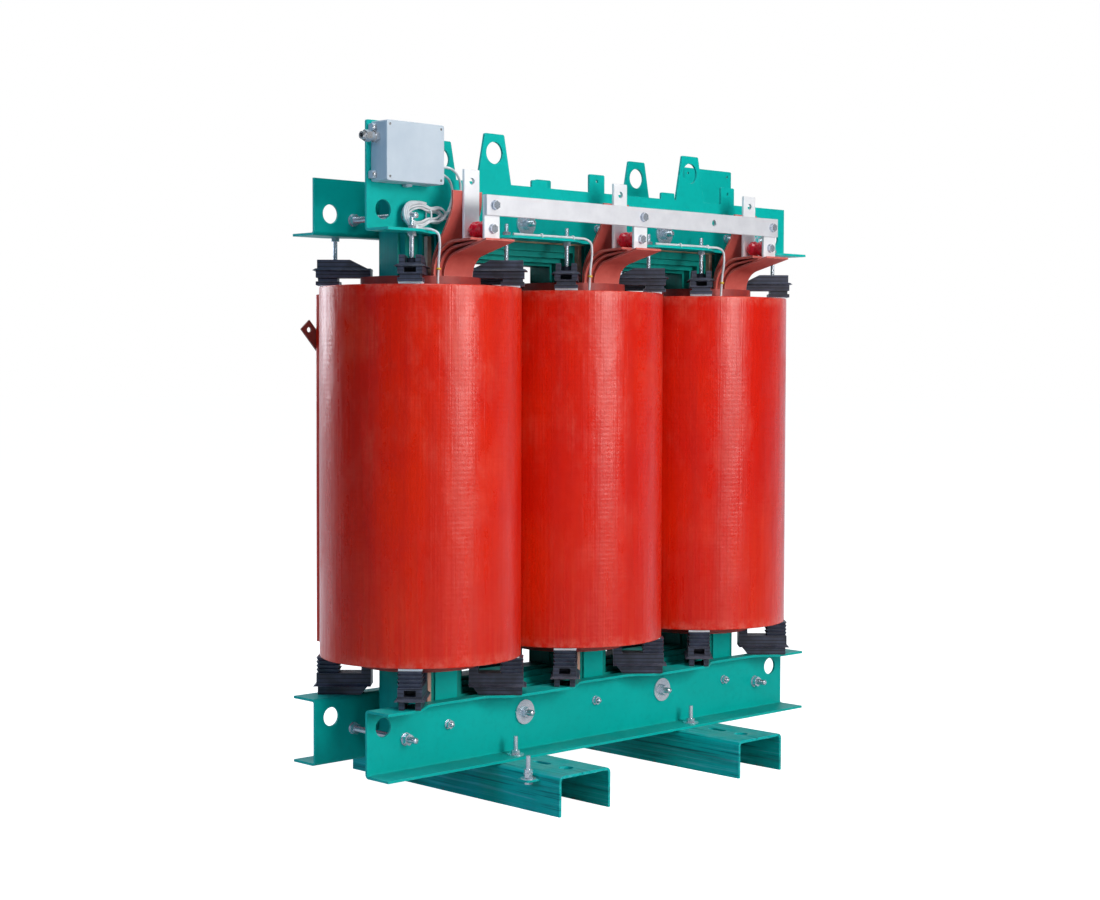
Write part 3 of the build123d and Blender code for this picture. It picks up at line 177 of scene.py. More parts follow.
inner = wire(sky, "MixShader", {0: glossy, 1: fill_light, 2: mirrored})
both = wire(sky, "MixShader", {0: straight, 1: inner, 2: backdrop})
sky.links.new(both, sky.nodes.new("ShaderNodeOutputWorld").inputs["Surface"])
print("world", world.name, len(sky.nodes), "nodes")

# %% [markdown]
# ## Floor
# One large quad at zero height. It takes light like any pale surface and so keeps the
# object's shadow, and for the camera some light of its own is added, which
# lifts it to the white of the backdrop. Where it lies behind the row it also shows
# white in reflections, as the world does, fading in over a metre or so.

# %% Floor
floor_mesh = bpy.data.meshes.new("floor")
reach = 60.0
floor_corners = [(-reach, -reach, 0), (reach, -reach, 0), (reach, reach, 0), (-reach, reach, 0)]
floor_mesh.from_pydata(floor_corners, [], [(0, 1, 2, 3)])
floor = bpy.data.objects.new("floor", floor_mesh)
bpy.context.scene.collection.objects.link(floor)
floor_paint = bpy.data.materials.new("studio_floor")
floor_paint.use_nodes = True
tree = floor_paint.node_tree
tree.nodes.clear()
lit = wire(tree, "BsdfDiffuse", {"Color": (0.60, 0.61, 0.62, 1.0)})
glow = wire(tree, "Emission", {"Color": paper_white, "Strength": 0.94})
away = wire(tree, "VectorMath", {0: wire(tree, "NewGeometry", out="Position"), 1: behind_row},
            out="Value", operation="DOT_PRODUCT")
rear = wire(tree, "MapRange", {"Value": away, "From Min": 0.2, "From Max": 1.6, "To Min": 0.0, "To Max": 0.8})
mirrored_only = wire(tree, "Math", {0: wire(tree, "LightPath", out="Is Glossy Ray"), 1: rear},
                     operation="MULTIPLY")
shine = wire(tree, "Emission", {"Color": mirror_tint, "Strength": mirrored_only})
seen = wire(tree, "AddShader", {0: lit, 1: glow})
unseen = wire(tree, "AddShader", {0: lit, 1: shine})
mixed = wire(tree, "MixShader", {0: wire(tree, "LightPath", out="Is Camera Ray"), 1: unseen, 2: seen})
tree.links.new(mixed, tree.nodes.new("ShaderNodeOutputMaterial").inputs["Surface"])
floor_mesh.materials.append(floor_paint)
print("floor", 2 * reach, "m wide")

# %% [markdown]
# ## Shared surface effects
# Most finishes here are a colour that wanders a little, a fine bump, wear along the
# edges and dust on what faces up. Each effect is a node group with named
# inputs, built once. The edge mask, which carries wear and, on metal and on the
# moulding, a painted highlight, compares the true normal with one that is
# rounded over a small radius: the two differ only near an edge, so it
# works on any mesh, also on one of loose triangles.

# %% Helpers for groups
def new_group(name, inputs, outputs):
    """An empty node group with those sockets: a number gives a float socket, None a vector one.

    Returns its tree, its entry's outputs and its exit's inputs."""
    tree = bpy.data.node_groups.new(name, "ShaderNodeTree")
    for label, value in inputs.items():
        kind = "NodeSocketFloat" if isinstance(value, float) else "NodeSocketVector"
        socket = tree.interface.new_socket(label, in_out="INPUT", socket_type=kind)
        if isinstance(value, float):
            socket.default_value = value
    for label, kind in outputs.items():
        tree.interface.new_socket(label, in_out="OUTPUT", socket_type=kind)
    return tree, tree.nodes.new("NodeGroupInput").outputs, tree.nodes.new("NodeGroupOutput").inputs


def place_group(tree, group, inputs):
    """Puts a group into a tree and fills its inputs. Returns its outputs."""
    node = tree.nodes.new("ShaderNodeGroup")
    node.node_tree = group
    for key, value in inputs.items():
        put(tree, node.inputs[key], value)
    return node.outputs


print("group helpers ready")

# %% [markdown]
# ## Arithmetic on masks
# A mask is a value from 0 to 1 at every point. Masks are multiplied to keep only
# what both have, added to gather effects, and moved from one range to
# another, which is what turns a grey noise into a crisp patch.

# %% Arithmetic
def math_node(tree, operation, *values):
    """One arithmetic node over numbers or sockets."""
    return wire(tree, "Math", dict(enumerate(values)), operation=operation)


def times(tree, first, second):
    """The product of two values."""
    return math_node(tree, "MULTIPLY", first, second)


def plus(tree, first, second):
    """The sum of two values."""
    return math_node(tree, "ADD", first, second)


def span(tree, value, low, high, to_low=0.0, to_high=1.0):
    """The value moved from low..high to to_low..to_high, and held there."""
    return wire(tree, "MapRange", {"Value": value, "From Min": low, "From Max": high,
                                   "To Min": to_low, "To Max": to_high})


print("arithmetic ready")

# %% [markdown]
# ## The first groups: mottle and the edge mask
# Mottle is soft noise cut to a range, for colour that wanders. The edge mask marks
# worn edges, broken up by a finer noise so that it looks chipped; on metal and on the
# moulding it also places a painted highlight along the edges.
# Each group has a short function that places it in a material.

# %% Mottle and edge mask
mottle_group, entry, leave = new_group("mottle", {"Vector": None, "Scale": 8.0, "Low": 0.35, "High": 0.65},
                                       {"Value": "NodeSocketFloat"})
cloud = wire(mottle_group, "TexNoise", {"Vector": entry["Vector"], "Scale": entry["Scale"], "Detail": 5.0,
                                        "Roughness": 0.6})
mottle_group.links.new(span(mottle_group, cloud, entry["Low"], entry["High"]), leave["Value"])

edge_group, entry, leave = new_group("edge_wear_and_glint", {"Vector": None, "Radius": 0.0015, "Breakup": 0.5},
                                     {"Mask": "NodeSocketFloat"})
rounded = wire(edge_group, "Bevel", {"Radius": entry["Radius"]}, samples=4)
true_normal = wire(edge_group, "NewGeometry", out="Normal")
turn = wire(edge_group, "VectorMath", {0: rounded, 1: true_normal}, out="Value", operation="DOT_PRODUCT")
edge = span(edge_group, turn, 0.995, 0.90)
chips = wire(edge_group, "TexNoise", {"Vector": entry["Vector"], "Scale": 130.0, "Detail": 4.0,
                                      "Roughness": 0.7})
held = span(edge_group, chips, entry["Breakup"], 0.62)
edge_group.links.new(times(edge_group, edge, held), leave["Mask"])


def mottle(tree, place, scale, low, high):
    """Noise that wanders from 0 to 1 as it goes from low to high."""
    return place_group(tree, mottle_group, {"Vector": place, "Scale": scale,
                                            "Low": low, "High": high})["Value"]


def edges(tree, place, radius, breakup):
    """1 along edges that are rounder than the radius would make them, broken up."""
    return place_group(tree, edge_group, {"Vector": place, "Radius": radius, "Breakup": breakup})["Mask"]


print("groups", sorted(group.name for group in bpy.data.node_groups))

# %% [markdown]
# ## The other groups: dust, streaks and grain
# Dust is a mask on what faces up, so it needs only the normal's height and a noise.
# Streaks are noise whose coordinates are scaled much less along Z than across, so
# that it is drawn out upright. Grain is a fine bump, which gives back both
# the bent normal and its height, because the roughness may follow it.

# %% Dust, streaks and grain
dust_group, entry, leave = new_group("top_dust", {"Vector": None, "Amount": 0.5}, {"Mask": "NodeSocketFloat"})
facing = wire(dust_group, "SeparateXYZ", {0: wire(dust_group, "NewGeometry", out="Normal")}, out="Z")
drift = wire(dust_group, "TexNoise", {"Vector": entry["Vector"], "Scale": 14.0, "Detail": 6.0,
                                      "Roughness": 0.65})
settled = times(dust_group, span(dust_group, facing, 0.55, 0.98), span(dust_group, drift, 0.35, 0.7))
dust_group.links.new(times(dust_group, settled, entry["Amount"]), leave["Mask"])

streak_group, entry, leave = new_group(
    "streaks", {"Vector": None, "Across": 60.0, "Along": 3.0, "Low": 0.5, "High": 0.75},
    {"Mask": "NodeSocketFloat"})
stretch = wire(streak_group, "CombineXYZ", {"X": entry["Across"], "Y": entry["Across"], "Z": entry["Along"]})
drawn = wire(streak_group, "VectorMath", {0: entry["Vector"], 1: stretch}, operation="MULTIPLY")
runs = wire(streak_group, "TexNoise", {"Vector": drawn, "Scale": 1.0, "Detail": 3.0, "Roughness": 0.55})
streak_group.links.new(span(streak_group, runs, entry["Low"], entry["High"]), leave["Mask"])

grain_group, entry, leave = new_group(
    "grain", {"Vector": None, "Scale": 400.0, "Strength": 0.3, "Depth": 0.0004, "Normal": None},
    {"Normal": "NodeSocketVector", "Height": "NodeSocketFloat"})
grit = wire(grain_group, "TexNoise", {"Vector": entry["Vector"], "Scale": entry["Scale"], "Detail": 3.0})
dented = wire(grain_group, "Bump", {"Strength": entry["Strength"], "Distance": entry["Depth"], "Height": grit,
                                    "Normal": entry["Normal"]})
grain_group.links.new(dented, leave["Normal"])
grain_group.links.new(grit, leave["Height"])


def dust(tree, place, amount):
    """Up to the amount on faces that look up."""
    return place_group(tree, dust_group, {"Vector": place, "Amount": amount})["Mask"]


def streaks(tree, place, across, along, low, high):
    """Upright streaks, from 0 to 1 as their noise goes from low to high."""
    return place_group(tree, streak_group, {"Vector": place, "Across": across, "Along": along,
                                            "Low": low, "High": high})["Mask"]


def grain(tree, place, scale, strength, depth):
    """A fine bump. Returns its two outputs, Normal and Height."""
    return place_group(tree, grain_group, {"Vector": place, "Scale": scale, "Strength": strength,
                                           "Depth": depth})


print("groups", sorted(group.name for group in bpy.data.node_groups))

# %% [markdown]
# ## Finishes
# Each finish starts from a helper that makes a Principled surface and hands back
# its tree, its shader and the object's own coordinates in metres. Colours are
# written as they look on a screen and turned into linear light once.

# %% Colour and surface
def ink(red, green, blue):
    """A screen colour, 0 to 255, as linear light."""
    parts = []
    for value in (red, green, blue):
        value = value / 255.0
        parts.append(value / 12.92 if value <= 0.04045 else ((value + 0.055) / 1.055) ** 2.4)
    return (parts[0], parts[1], parts[2], 1.0)


def finish(name, roughness=0.5, metallic=0.0, **plain):
    """A new Principled material. plain sets further sockets of the shader, with _ for a space.

    Returns the material, its tree, its shader and the coordinates of the object in metres."""
    material = bpy.data.materials.new(name)
    material.use_nodes = True
    tree = material.node_tree
    shader = tree.nodes["Principled BSDF"]
    shader.inputs["Roughness"].default_value = roughness
    shader.inputs["Metallic"].default_value = metallic
    for key, value in plain.items():
        shader.inputs[key.replace("_", " ")].default_value = value
    return material, tree, shader, wire(tree, "TexCoord", out="Object")


print("a teal for trial", [round(part, 3) for part in ink(0, 168, 162)])

# %% [markdown]
# ## From a finish to a piece
# Colours are blended through masks, the outcome is linked to the shader, and the
# material takes the place of whatever the solids brought along. Every finish is
# kept in one palette, so that the pieces made later can use it again.

# %% Blending and dressing
def blend_colour(tree, mask, first, second):
    """first where the mask is 0, second where it is 1."""
    node = tree.nodes.new("ShaderNodeMix")
    node.data_type = "RGBA"
    for index, value in ((0, mask), (6, first), (7, second)):
        put(tree, node.inputs[index], value)
    return node.outputs[2]


def feed(tree, shader, **sockets):
    """Links outputs to the shader's inputs by name, with _ for a space."""
    for key, value in sockets.items():
        tree.links.new(value, shader.inputs[key.replace("_", " ")])


def dress(material, *names):
    """Gives those CAD nodes the material."""
    for name in names:
        slots = nodes[name].data.materials
        slots.clear()
        slots.append(material)


palette = {}
print("palette ready for", len(nodes), "nodes")

# %% [markdown]
# ## Frame paint
# The clamps and tie plates are sprayed with one coat of teal enamel. It has a faint
# orange peel, pools a little darker in places, and is rubbed pale along the folded
# edges. The same recipe with other numbers serves the base channels, whose paint has
# run and been scraped.

# %% Teal enamel
def enamel(name, body, light, dark, roughness, peel, rubbed, dust_amount):
    """Sprayed paint: a wandering colour, orange peel, rubbed edges and dust on top."""
    material, tree, shader, place = finish(name, roughness, Specular_IOR_Level=0.13)
    broad = mottle(tree, place, 5.0, 0.35, 0.7)
    small = mottle(tree, place, 60.0, 0.5, 0.8)
    colour = blend_colour(tree, broad, body, light)
    colour = blend_colour(tree, times(tree, small, 0.35), colour, dark)
    worn = edges(tree, place, 0.0012, 0.45)
    colour = blend_colour(tree, times(tree, worn, rubbed), colour, ink(120, 205, 195))
    lying = dust(tree, place, dust_amount)
    colour = blend_colour(tree, lying, colour, ink(150, 175, 168))
    skin = grain(tree, place, 260.0, peel, 0.0006)
    rough = span(tree, skin["Height"], 0.3, 0.7, roughness - 0.05, roughness + 0.08)
    rough = plus(tree, rough, times(tree, lying, 0.3))
    feed(tree, shader, Base_Color=colour, Roughness=rough, Normal=skin["Normal"])
    return material, tree, shader, place, colour


palette["frame_paint"] = enamel("frame_paint", ink(0, 168, 162), ink(0, 178, 172), ink(0, 142, 138),
                                roughness=0.42, peel=0.16, rubbed=0.6, dust_amount=0.10)[0]
dress(palette["frame_paint"], "lower_clamp_front", "lower_clamp_rear", "upper_clamp_front",
      "upper_clamp_rear", "leg_tie_plates")
print("frame paint on 5 nodes")

# %% [markdown]
# ## Base channels
# The two channels that touch the floor have had a harder life. Their paint shows
# long pale and dark scrapes along the length, stains below the top and spots of rust
# close to the floor. The scrapes are one noise drawn out along Y, read at two
# levels, and the stains and the rust are held to their places by the height.

# %% Worn enamel
worn_paint, tree, shader, place, colour = enamel(
    "channel_paint", ink(0, 168, 166), ink(0, 180, 178), ink(0, 136, 138),
    roughness=0.42, peel=0.2, rubbed=0.7, dust_amount=0.35)
drawn_out = wire(tree, "VectorMath", {0: place, 1: (90.0, 3.0, 150.0)}, operation="MULTIPLY")
scrapes = wire(tree, "TexNoise", {"Vector": drawn_out, "Scale": 1.0, "Detail": 4.0, "Roughness": 0.6})
scraped = span(tree, scrapes, 0.56, 0.66)
scored = span(tree, scrapes, 0.44, 0.36)
height = wire(tree, "SeparateXYZ", {0: place}, out="Z")
below_top = span(tree, height, 0.094, 0.088)
colour = blend_colour(tree, times(tree, scraped, 0.55), colour, ink(92, 190, 206))
colour = blend_colour(tree, times(tree, scored, 0.60), colour, ink(0, 70, 84))
long_spots = wire(tree, "TexNoise", {"Vector": drawn_out, "Scale": 0.6, "Detail": 6.0, "Roughness": 0.7})
stains = times(tree, span(tree, long_spots, 0.52, 0.66), below_top)
colour = blend_colour(tree, times(tree, stains, 0.5), colour, ink(30, 62, 60))
round_spots = wire(tree, "TexNoise", {"Vector": place, "Scale": 45.0, "Detail": 6.0, "Roughness": 0.7})
rust = times(tree, span(tree, round_spots, 0.56, 0.68), span(tree, height, 0.012, 0.001))
colour = blend_colour(tree, times(tree, rust, 0.8), colour, ink(104, 62, 48))
feed(tree, shader, Base_Color=colour)
palette["channel_paint"] = worn_paint
dress(worn_paint, "base_channel_left", "base_channel_right")
print("worn paint on 2 nodes")

# %% [markdown]
# ## Core
# The core is a stack of thin steel sheets. Their cut edges show on the top of the
# yokes and on the sides of the legs as fine lines, under the same teal varnish.
# The lines follow the depth of the stack, so a noise of the Y coordinate alone
# drives a shallow bump and a slight darkening between the sheets.

# %% Varnished laminations
core_paint, tree, shader, place = finish("core_varnish", 0.45, Specular_IOR_Level=0.25)
depth = wire(tree, "SeparateXYZ", {0: place}, out="Y")
only_depth = wire(tree, "CombineXYZ", {"Y": depth})
sheet = wire(tree, "TexNoise", {"Vector": only_depth, "Scale": 900.0, "Detail": 2.0})
uneven = mottle(tree, place, 9.0, 0.35, 0.7)
colour = blend_colour(tree, uneven, ink(0, 134, 128), ink(0, 156, 146))
colour = blend_colour(tree, times(tree, span(tree, sheet, 0.5, 0.35), 0.6), colour, ink(0, 70, 66))
runs = streaks(tree, place, 70.0, 5.0, 0.55, 0.75)
colour = blend_colour(tree, times(tree, runs, 0.4), colour, ink(10, 96, 92))
lines = wire(tree, "Bump", {"Strength": 0.5, "Distance": 0.0005, "Height": sheet})
feed(tree, shader, Base_Color=colour, Normal=lines)
palette["core_paint"] = core_paint
dress(core_paint, "core_leg_left", "core_leg_middle", "core_leg_right", "bottom_yoke", "top_yoke")
print("core varnish on 5 nodes")

# %% [markdown]
# ## High-voltage resin: colour
# Each outer coil is cast in red resin against a sheet-metal mould. The skin is
# satin, with soft upright streaks from the release film, a faint bloom where the
# glass cloth lies close under it, which grows toward the top as a painted sheen,
# pale runs near the foot, and both rims rubbed pale. Every effect is a mask, and
# the colour is blended through them in turn.

# %% Cast resin, colour
resin, tree, shader, place = finish("cast_resin", 0.31, Specular_IOR_Level=0.38)
height = wire(tree, "SeparateXYZ", {0: place}, out="Z")


def stretched(scales, detail, roughness):
    """Noise pulled out along an axis by giving that axis a small scale."""
    drawn = wire(tree, "VectorMath", {0: place, 1: scales}, operation="MULTIPLY")
    return wire(tree, "TexNoise", {"Vector": drawn, "Scale": 1.0, "Detail": detail, "Roughness": roughness})


film = streaks(tree, place, 26.0, 1.6, 0.42, 0.72)
fine = streaks(tree, place, 150.0, 4.0, 0.40, 0.75)
patch = mottle(tree, place, 3.2, 0.40, 0.62)
haze = span(tree, stretched((9.0, 9.0, 6.0), 8.0, 0.72), 0.50, 0.68)
cloth = span(tree, stretched((42.0, 42.0, 330.0), 4.0, 0.6), 0.40, 0.66)
colour = blend_colour(tree, patch, ink(204, 20, 0), ink(212, 32, 0))
colour = blend_colour(tree, times(tree, film, 0.40), colour, ink(176, 8, 0))
# partly painted sheen: the pale bloom follows haze and glass cloth, and grows toward the top as the highlight
# does
bloom_and_sheen = times(tree, times(tree, haze, plus(tree, fine, times(tree, cloth, 0.5))),
              span(tree, height, 0.55, 1.25, 0.08, 0.30))
colour = blend_colour(tree, bloom_and_sheen, colour, ink(224, 104, 78))
foot = span(tree, height, 0.74, 0.40)
dripping = times(tree, times(tree, fine, foot), 0.13)
colour = blend_colour(tree, dripping, colour, ink(232, 104, 60))
rim = math_node(tree, "MAXIMUM", span(tree, height, 0.400, 0.372), span(tree, height, 1.268, 1.296))
worn = wire(tree, "TexNoise", {"Vector": place, "Scale": 40.0, "Detail": 7.0, "Roughness": 0.75})
rubbed = times(tree, times(tree, rim, span(tree, worn, 0.42, 0.62)), 0.55)
colour = blend_colour(tree, rubbed, colour, ink(220, 112, 96))
feed(tree, shader, Base_Color=colour)
palette["hv_resin"] = resin
dress(resin, "hv_coil_left", "hv_coil_middle", "hv_coil_right")
print("cast resin on 3 nodes,", len(tree.nodes), "shader nodes")

# %% [markdown]
# ## High-voltage resin: relief
# A highlight on the resin is never straight: the skin sinks a little over the
# winding's layers, and the release film leaves fine upright combing. Shallow sinks,
# lumps, combing, film and level rows are added into one height for one
# bump, which costs less than a bump for each. The roughness follows film and haze.

# %% Cast resin, relief
only_height = wire(tree, "CombineXYZ", {"Z": height})
rows = wire(tree, "TexWave", {"Vector": only_height, "Scale": 26.0, "Distortion": 2.2, "Detail": 3.0,
                              "Detail Scale": 3.0}, bands_direction="Z")
lumps = stretched((60.0, 60.0, 84.0), 3.0, 0.55)
sinks = stretched((13.0, 13.0, 9.0), 2.0, 0.5)
combed = stretched((210.0, 210.0, 3.0), 2.0, 0.5)
relief = plus(tree, times(tree, rows, 0.12), times(tree, lumps, 0.50))
relief = plus(tree, relief, times(tree, film, 0.5))
relief = plus(tree, relief, times(tree, combed, 0.75))
relief = plus(tree, relief, times(tree, sinks, 3.4))
skin = wire(tree, "Bump", {"Strength": 0.65, "Distance": 0.0010, "Height": relief})
rough = plus(tree, span(tree, film, 0.0, 1.0, 0.27, 0.35), times(tree, haze, 0.16))
feed(tree, shader, Roughness=rough, Normal=skin)
print("relief added,", len(tree.nodes), "shader nodes")

# %% [markdown]
# ## Inner coil resin
# The inner coils show only as a rough end above and below the outer ones. They are
# a duller, browner red, patchy and streaked from brushed-on resin, so the coarse
# grain matters more than the colour's detail.

# %% Inner coil resin
low_resin, tree, shader, place = finish("inner_coil_resin", 0.55)
patch = mottle(tree, place, 18.0, 0.35, 0.65)
runs = streaks(tree, place, 60.0, 4.0, 0.5, 0.8)
colour = blend_colour(tree, patch, ink(150, 48, 44), ink(176, 58, 50))
colour = blend_colour(tree, times(tree, runs, 0.5), colour, ink(112, 52, 60))
skin = grain(tree, place, 120.0, 0.5, 0.001)["Normal"]
feed(tree, shader, Base_Color=colour, Normal=skin)
palette["lv_resin"] = low_resin
dress(low_resin, "lv_coil_left", "lv_coil_middle", "lv_coil_right")
print("inner coil resin on 3 nodes")

# %% [markdown]
# ## Lead primer
# The bent strips that carry the low-voltage current are aluminium under a matt
# red-oxide primer. The brush never covers their edges well, so those shine
# through pale. The terminals of the outer coils get the same recipe in brown.

# %% Primed strip and primed terminal
def primer(name, body, patchy, bare, roughness, breakup):
    """Brushed matt primer with bare edges."""
    material, tree, shader, place = finish(name, roughness)
    broad = mottle(tree, place, 22.0, 0.35, 0.7)
    colour = blend_colour(tree, broad, body, patchy)
    worn = edges(tree, place, 0.0014, breakup)
    colour = blend_colour(tree, worn, colour, bare)
    brush = grain(tree, place, 330.0, 0.25, 0.0005)
    feed(tree, shader, Base_Color=colour, Normal=brush["Normal"])
    return material


palette["lead_primer"] = primer("lead_primer", ink(188, 80, 72), ink(202, 96, 86), ink(232, 190, 178),
                                roughness=0.6, breakup=0.30)
palette["terminal_copper"] = primer("terminal_primer", ink(116, 56, 52), ink(138, 72, 64),
                                    ink(190, 140, 120), roughness=0.5, breakup=0.42)
dress(palette["lead_primer"], "lv_leads_left", "lv_leads_middle", "lv_leads_right")
dress(palette["terminal_copper"], "hv_terminals")
print("primer on 4 nodes")

# %% [markdown]
# ## Moulded support blocks
# The dark blocks that hold the coils are pressed from a mineral-filled compound. Their
# thin sheds are chipped and chalked pale along the rims, with a painted highlight on the same edges, and dust
# lies on the ledges.
# The narrow ribs between the sheds are only dark level lines of painted shade, made by a wave of
# the height on faces that stand upright; the solids have the sheds themselves.

# %% Moulding compound
moulding, tree, shader, place = finish("moulding", 0.48)
broad = mottle(tree, place, 30.0, 0.35, 0.7)
colour = blend_colour(tree, broad, ink(42, 46, 60), ink(64, 70, 92))
level = wire(tree, "SeparateXYZ", {0: place}, out="Z")
facing_up = wire(tree, "SeparateXYZ", {0: wire(tree, "NewGeometry", out="Normal")}, out="Z")
upright = math_node(tree, "SUBTRACT", 1.0, math_node(tree, "ABSOLUTE", facing_up))
only_level = wire(tree, "CombineXYZ", {"Z": level})
rib_wave = wire(tree, "TexWave", {"Vector": only_level, "Scale": 31.4}, bands_direction="Z")
# painted shade: dark level lines where the narrow ribs between the sheds would be
rib_shade_line = times(tree, span(tree, rib_wave, 0.30, 0.06), span(tree, upright, 0.6, 0.9))
colour = blend_colour(tree, times(tree, rib_shade_line, 0.75), colour, ink(10, 12, 18))
# chips and chalk along the rims, together with a painted highlight on those edges
chalk_and_glint = edges(tree, place, 0.0012, 0.40)
colour = blend_colour(tree, times(tree, chalk_and_glint, 0.55), colour, ink(150, 148, 156))
lying = dust(tree, place, 0.22)
colour = blend_colour(tree, lying, colour, ink(128, 126, 134))
skin = grain(tree, place, 500.0, 0.3, 0.0004)
rough = span(tree, skin["Height"], 0.3, 0.7, 0.40, 0.56)
feed(tree, shader, Base_Color=colour, Normal=skin["Normal"], Roughness=rough)
palette["support_moulding"] = moulding
dress(moulding, *["%s_supports_%s" % (end, leg) for end in ("bottom", "top")
                  for leg in ("left", "middle", "right")])
print("moulding on 6 nodes")

# %% [markdown]
# ## Bare and plated metal
# One recipe covers all the metals: a colour and a roughness that wander, a painted
# highlight along the edges, and scratches drawn out by a scale for each axis, which
# is small along the grain.

# %% Recipe for metal
def metal(name, body, shade, roughness, drawn, depth, edge_light, wander=1.0):
    """A metal with scratches drawn out by the scale along each axis, and a painted highlight along its edges.
    """
    material, tree, shader, place = finish(name, roughness, 1.0)
    broad = mottle(tree, place, 25.0, 0.35, 0.7)
    colour = blend_colour(tree, broad, body, shade)
    # painted highlight: the edges are lightened toward white, as much as edge_light asks
    rubbed = edges(tree, place, 0.0008, 0.35)
    colour = blend_colour(tree, times(tree, rubbed, edge_light), colour, ink(246, 248, 252))
    pulled = wire(tree, "VectorMath", {0: place, 1: drawn}, operation="MULTIPLY")
    scratch = wire(tree, "TexNoise", {"Vector": pulled, "Scale": 1.0, "Detail": 4.0, "Roughness": 0.6})
    skin = wire(tree, "Bump", {"Strength": 0.35, "Distance": depth, "Height": scratch})
    rough = span(tree, scratch, 0.3, 0.7, roughness - 0.07 * wander, roughness + 0.12 * wander)
    feed(tree, shader, Base_Color=colour, Roughness=rough, Normal=skin)
    return material


print("recipe for metal ready,", len(palette), "finishes so far")

# %% [markdown]
# ## The five metals
# Busbars are drawn aluminium with long faint scratches, level on the neutral bar
# and upright on the risers. Fasteners are zinc-plated steel, slightly blue. The gland
# and the small screws are nickel, the taps brass. Metallic is less than one where
# the metal is dull or has a film on it, so that it keeps some colour of its own and
# isn't only a mirror of the room.

# %% Metals
palette["busbar_aluminium"] = metal("busbar_aluminium", ink(220, 221, 228), ink(230, 231, 237), 0.48,
                                    drawn=(12.0, 500.0, 900.0), depth=0.0002, edge_light=0.5)
palette["upright_aluminium"] = metal("upright_aluminium", ink(232, 234, 240), ink(242, 244, 248), 0.48,
                                     drawn=(900.0, 500.0, 12.0), depth=0.0002, edge_light=0.5)
palette["zinc_steel"] = metal("zinc_steel", ink(208, 218, 232), ink(226, 233, 242), 0.24,
                              drawn=(60.0, 60.0, 60.0), depth=0.00002, edge_light=0.0, wander=0.3)
palette["nickel"] = metal("nickel", ink(206, 208, 212), ink(226, 227, 230), 0.22,
                          drawn=(90.0, 90.0, 90.0), depth=0.00002, edge_light=0.1, wander=0.3)
metal_shares = {"busbar_aluminium": 0.5, "upright_aluminium": 0.25, "zinc_steel": 0.75, "nickel": 0.8}
for metal_name, metal_share in metal_shares.items():
    principled = palette[metal_name].node_tree.nodes["Principled BSDF"]
    principled.inputs["Metallic"].default_value = metal_share
palette["tap_brass"] = metal("tap_brass", ink(200, 170, 104), ink(214, 190, 130), 0.32,
                             drawn=(300.0, 300.0, 300.0), depth=0.0002, edge_light=0.5)
dress(palette["busbar_aluminium"], "neutral_bar")
dress(palette["upright_aluminium"], "phase_bars", "neutral_risers")
fastener_nodes = ("base_bolts", "base_bolt_nuts", "busbar_bolts", "busbar_nuts", "clamp_nuts",
                  "clamp_washers", "earth_bolt", "hv_bolts", "leg_bolts", "pressure_nuts",
                  "pressure_screws", "tie_rods", "yoke_bolts")
dress(palette["zinc_steel"], *fastener_nodes)
dress(palette["nickel"], "cable_gland", "box_screws")
dress(palette["tap_brass"], "tap_bosses", "tap_links")
print("metals on", 7 + len(fastener_nodes), "nodes")

# %% [markdown]
# ## Control box
# The box is powder-coated in a pale blue grey. Powder coat has a fine, even
# pimpled skin, thinner and paler along the folded edges.

# %% Powder coat
box_paint, tree, shader, place = finish("box_paint", 0.5, Specular_IOR_Level=0.4)
broad = mottle(tree, place, 12.0, 0.35, 0.7)
colour = blend_colour(tree, broad, ink(176, 190, 204), ink(188, 200, 212))
worn = edges(tree, place, 0.0015, 0.4)
colour = blend_colour(tree, times(tree, worn, 0.5), colour, ink(226, 234, 242))
skin = grain(tree, place, 700.0, 0.45, 0.0005)
feed(tree, shader, Base_Color=colour, Normal=skin["Normal"])
palette["box_paint"] = box_paint
dress(box_paint, "control_box_body", "control_box_lid")
print("powder coat on 2 nodes")

# %% [markdown]
# ## Small materials
# What is left: white silicone pads, fibre packing and boards, the glossy crimson
# insulators and the pale cable sheaths. All are a stuff with two close colours and a
# fine grain, so one function serves.

# %% Pads, fibre, insulators and sheaths
def plain_stuff(name, body, other, roughness, scale, strength, **plain):
    """A simple filled or moulded stuff: two close colours and a fine grain."""
    material, tree, shader, place = finish(name, roughness, **plain)
    broad = mottle(tree, place, scale, 0.35, 0.68)
    skin = grain(tree, place, scale * 14.0, strength, 0.0005)
    feed(tree, shader, Base_Color=blend_colour(tree, broad, body, other), Normal=skin["Normal"],
         Roughness=span(tree, skin["Height"], 0.3, 0.7, roughness - 0.05, roughness + 0.1))
    return material


palette["pad_silicone"] = plain_stuff("pad_silicone", ink(214, 220, 228), ink(230, 234, 238),
                                      roughness=0.6, scale=30.0, strength=0.3, Subsurface_Weight=0.1)
palette["packing_fibre"] = plain_stuff("packing_fibre", ink(190, 142, 128), ink(210, 170, 152),
                                       roughness=0.8, scale=40.0, strength=0.6)
palette["board_fibre"] = plain_stuff("board_fibre", ink(152, 132, 104), ink(176, 156, 128),
                                     roughness=0.7, scale=30.0, strength=0.5)
palette["insulator_red"] = plain_stuff("insulator_red", ink(212, 8, 40), ink(226, 14, 50),
                                       roughness=0.22, scale=30.0, strength=0.12, Coat_Weight=0.5)
palette["cable_sheath"] = plain_stuff("cable_sheath", ink(206, 210, 216), ink(224, 227, 232),
                                      roughness=0.42, scale=60.0, strength=0.12)
dress(palette["pad_silicone"], "coil_pads")
dress(palette["packing_fibre"], "leg_packing_strips")
dress(palette["board_fibre"], "yoke_insulation")
dress(palette["insulator_red"], "standoff_insulators")
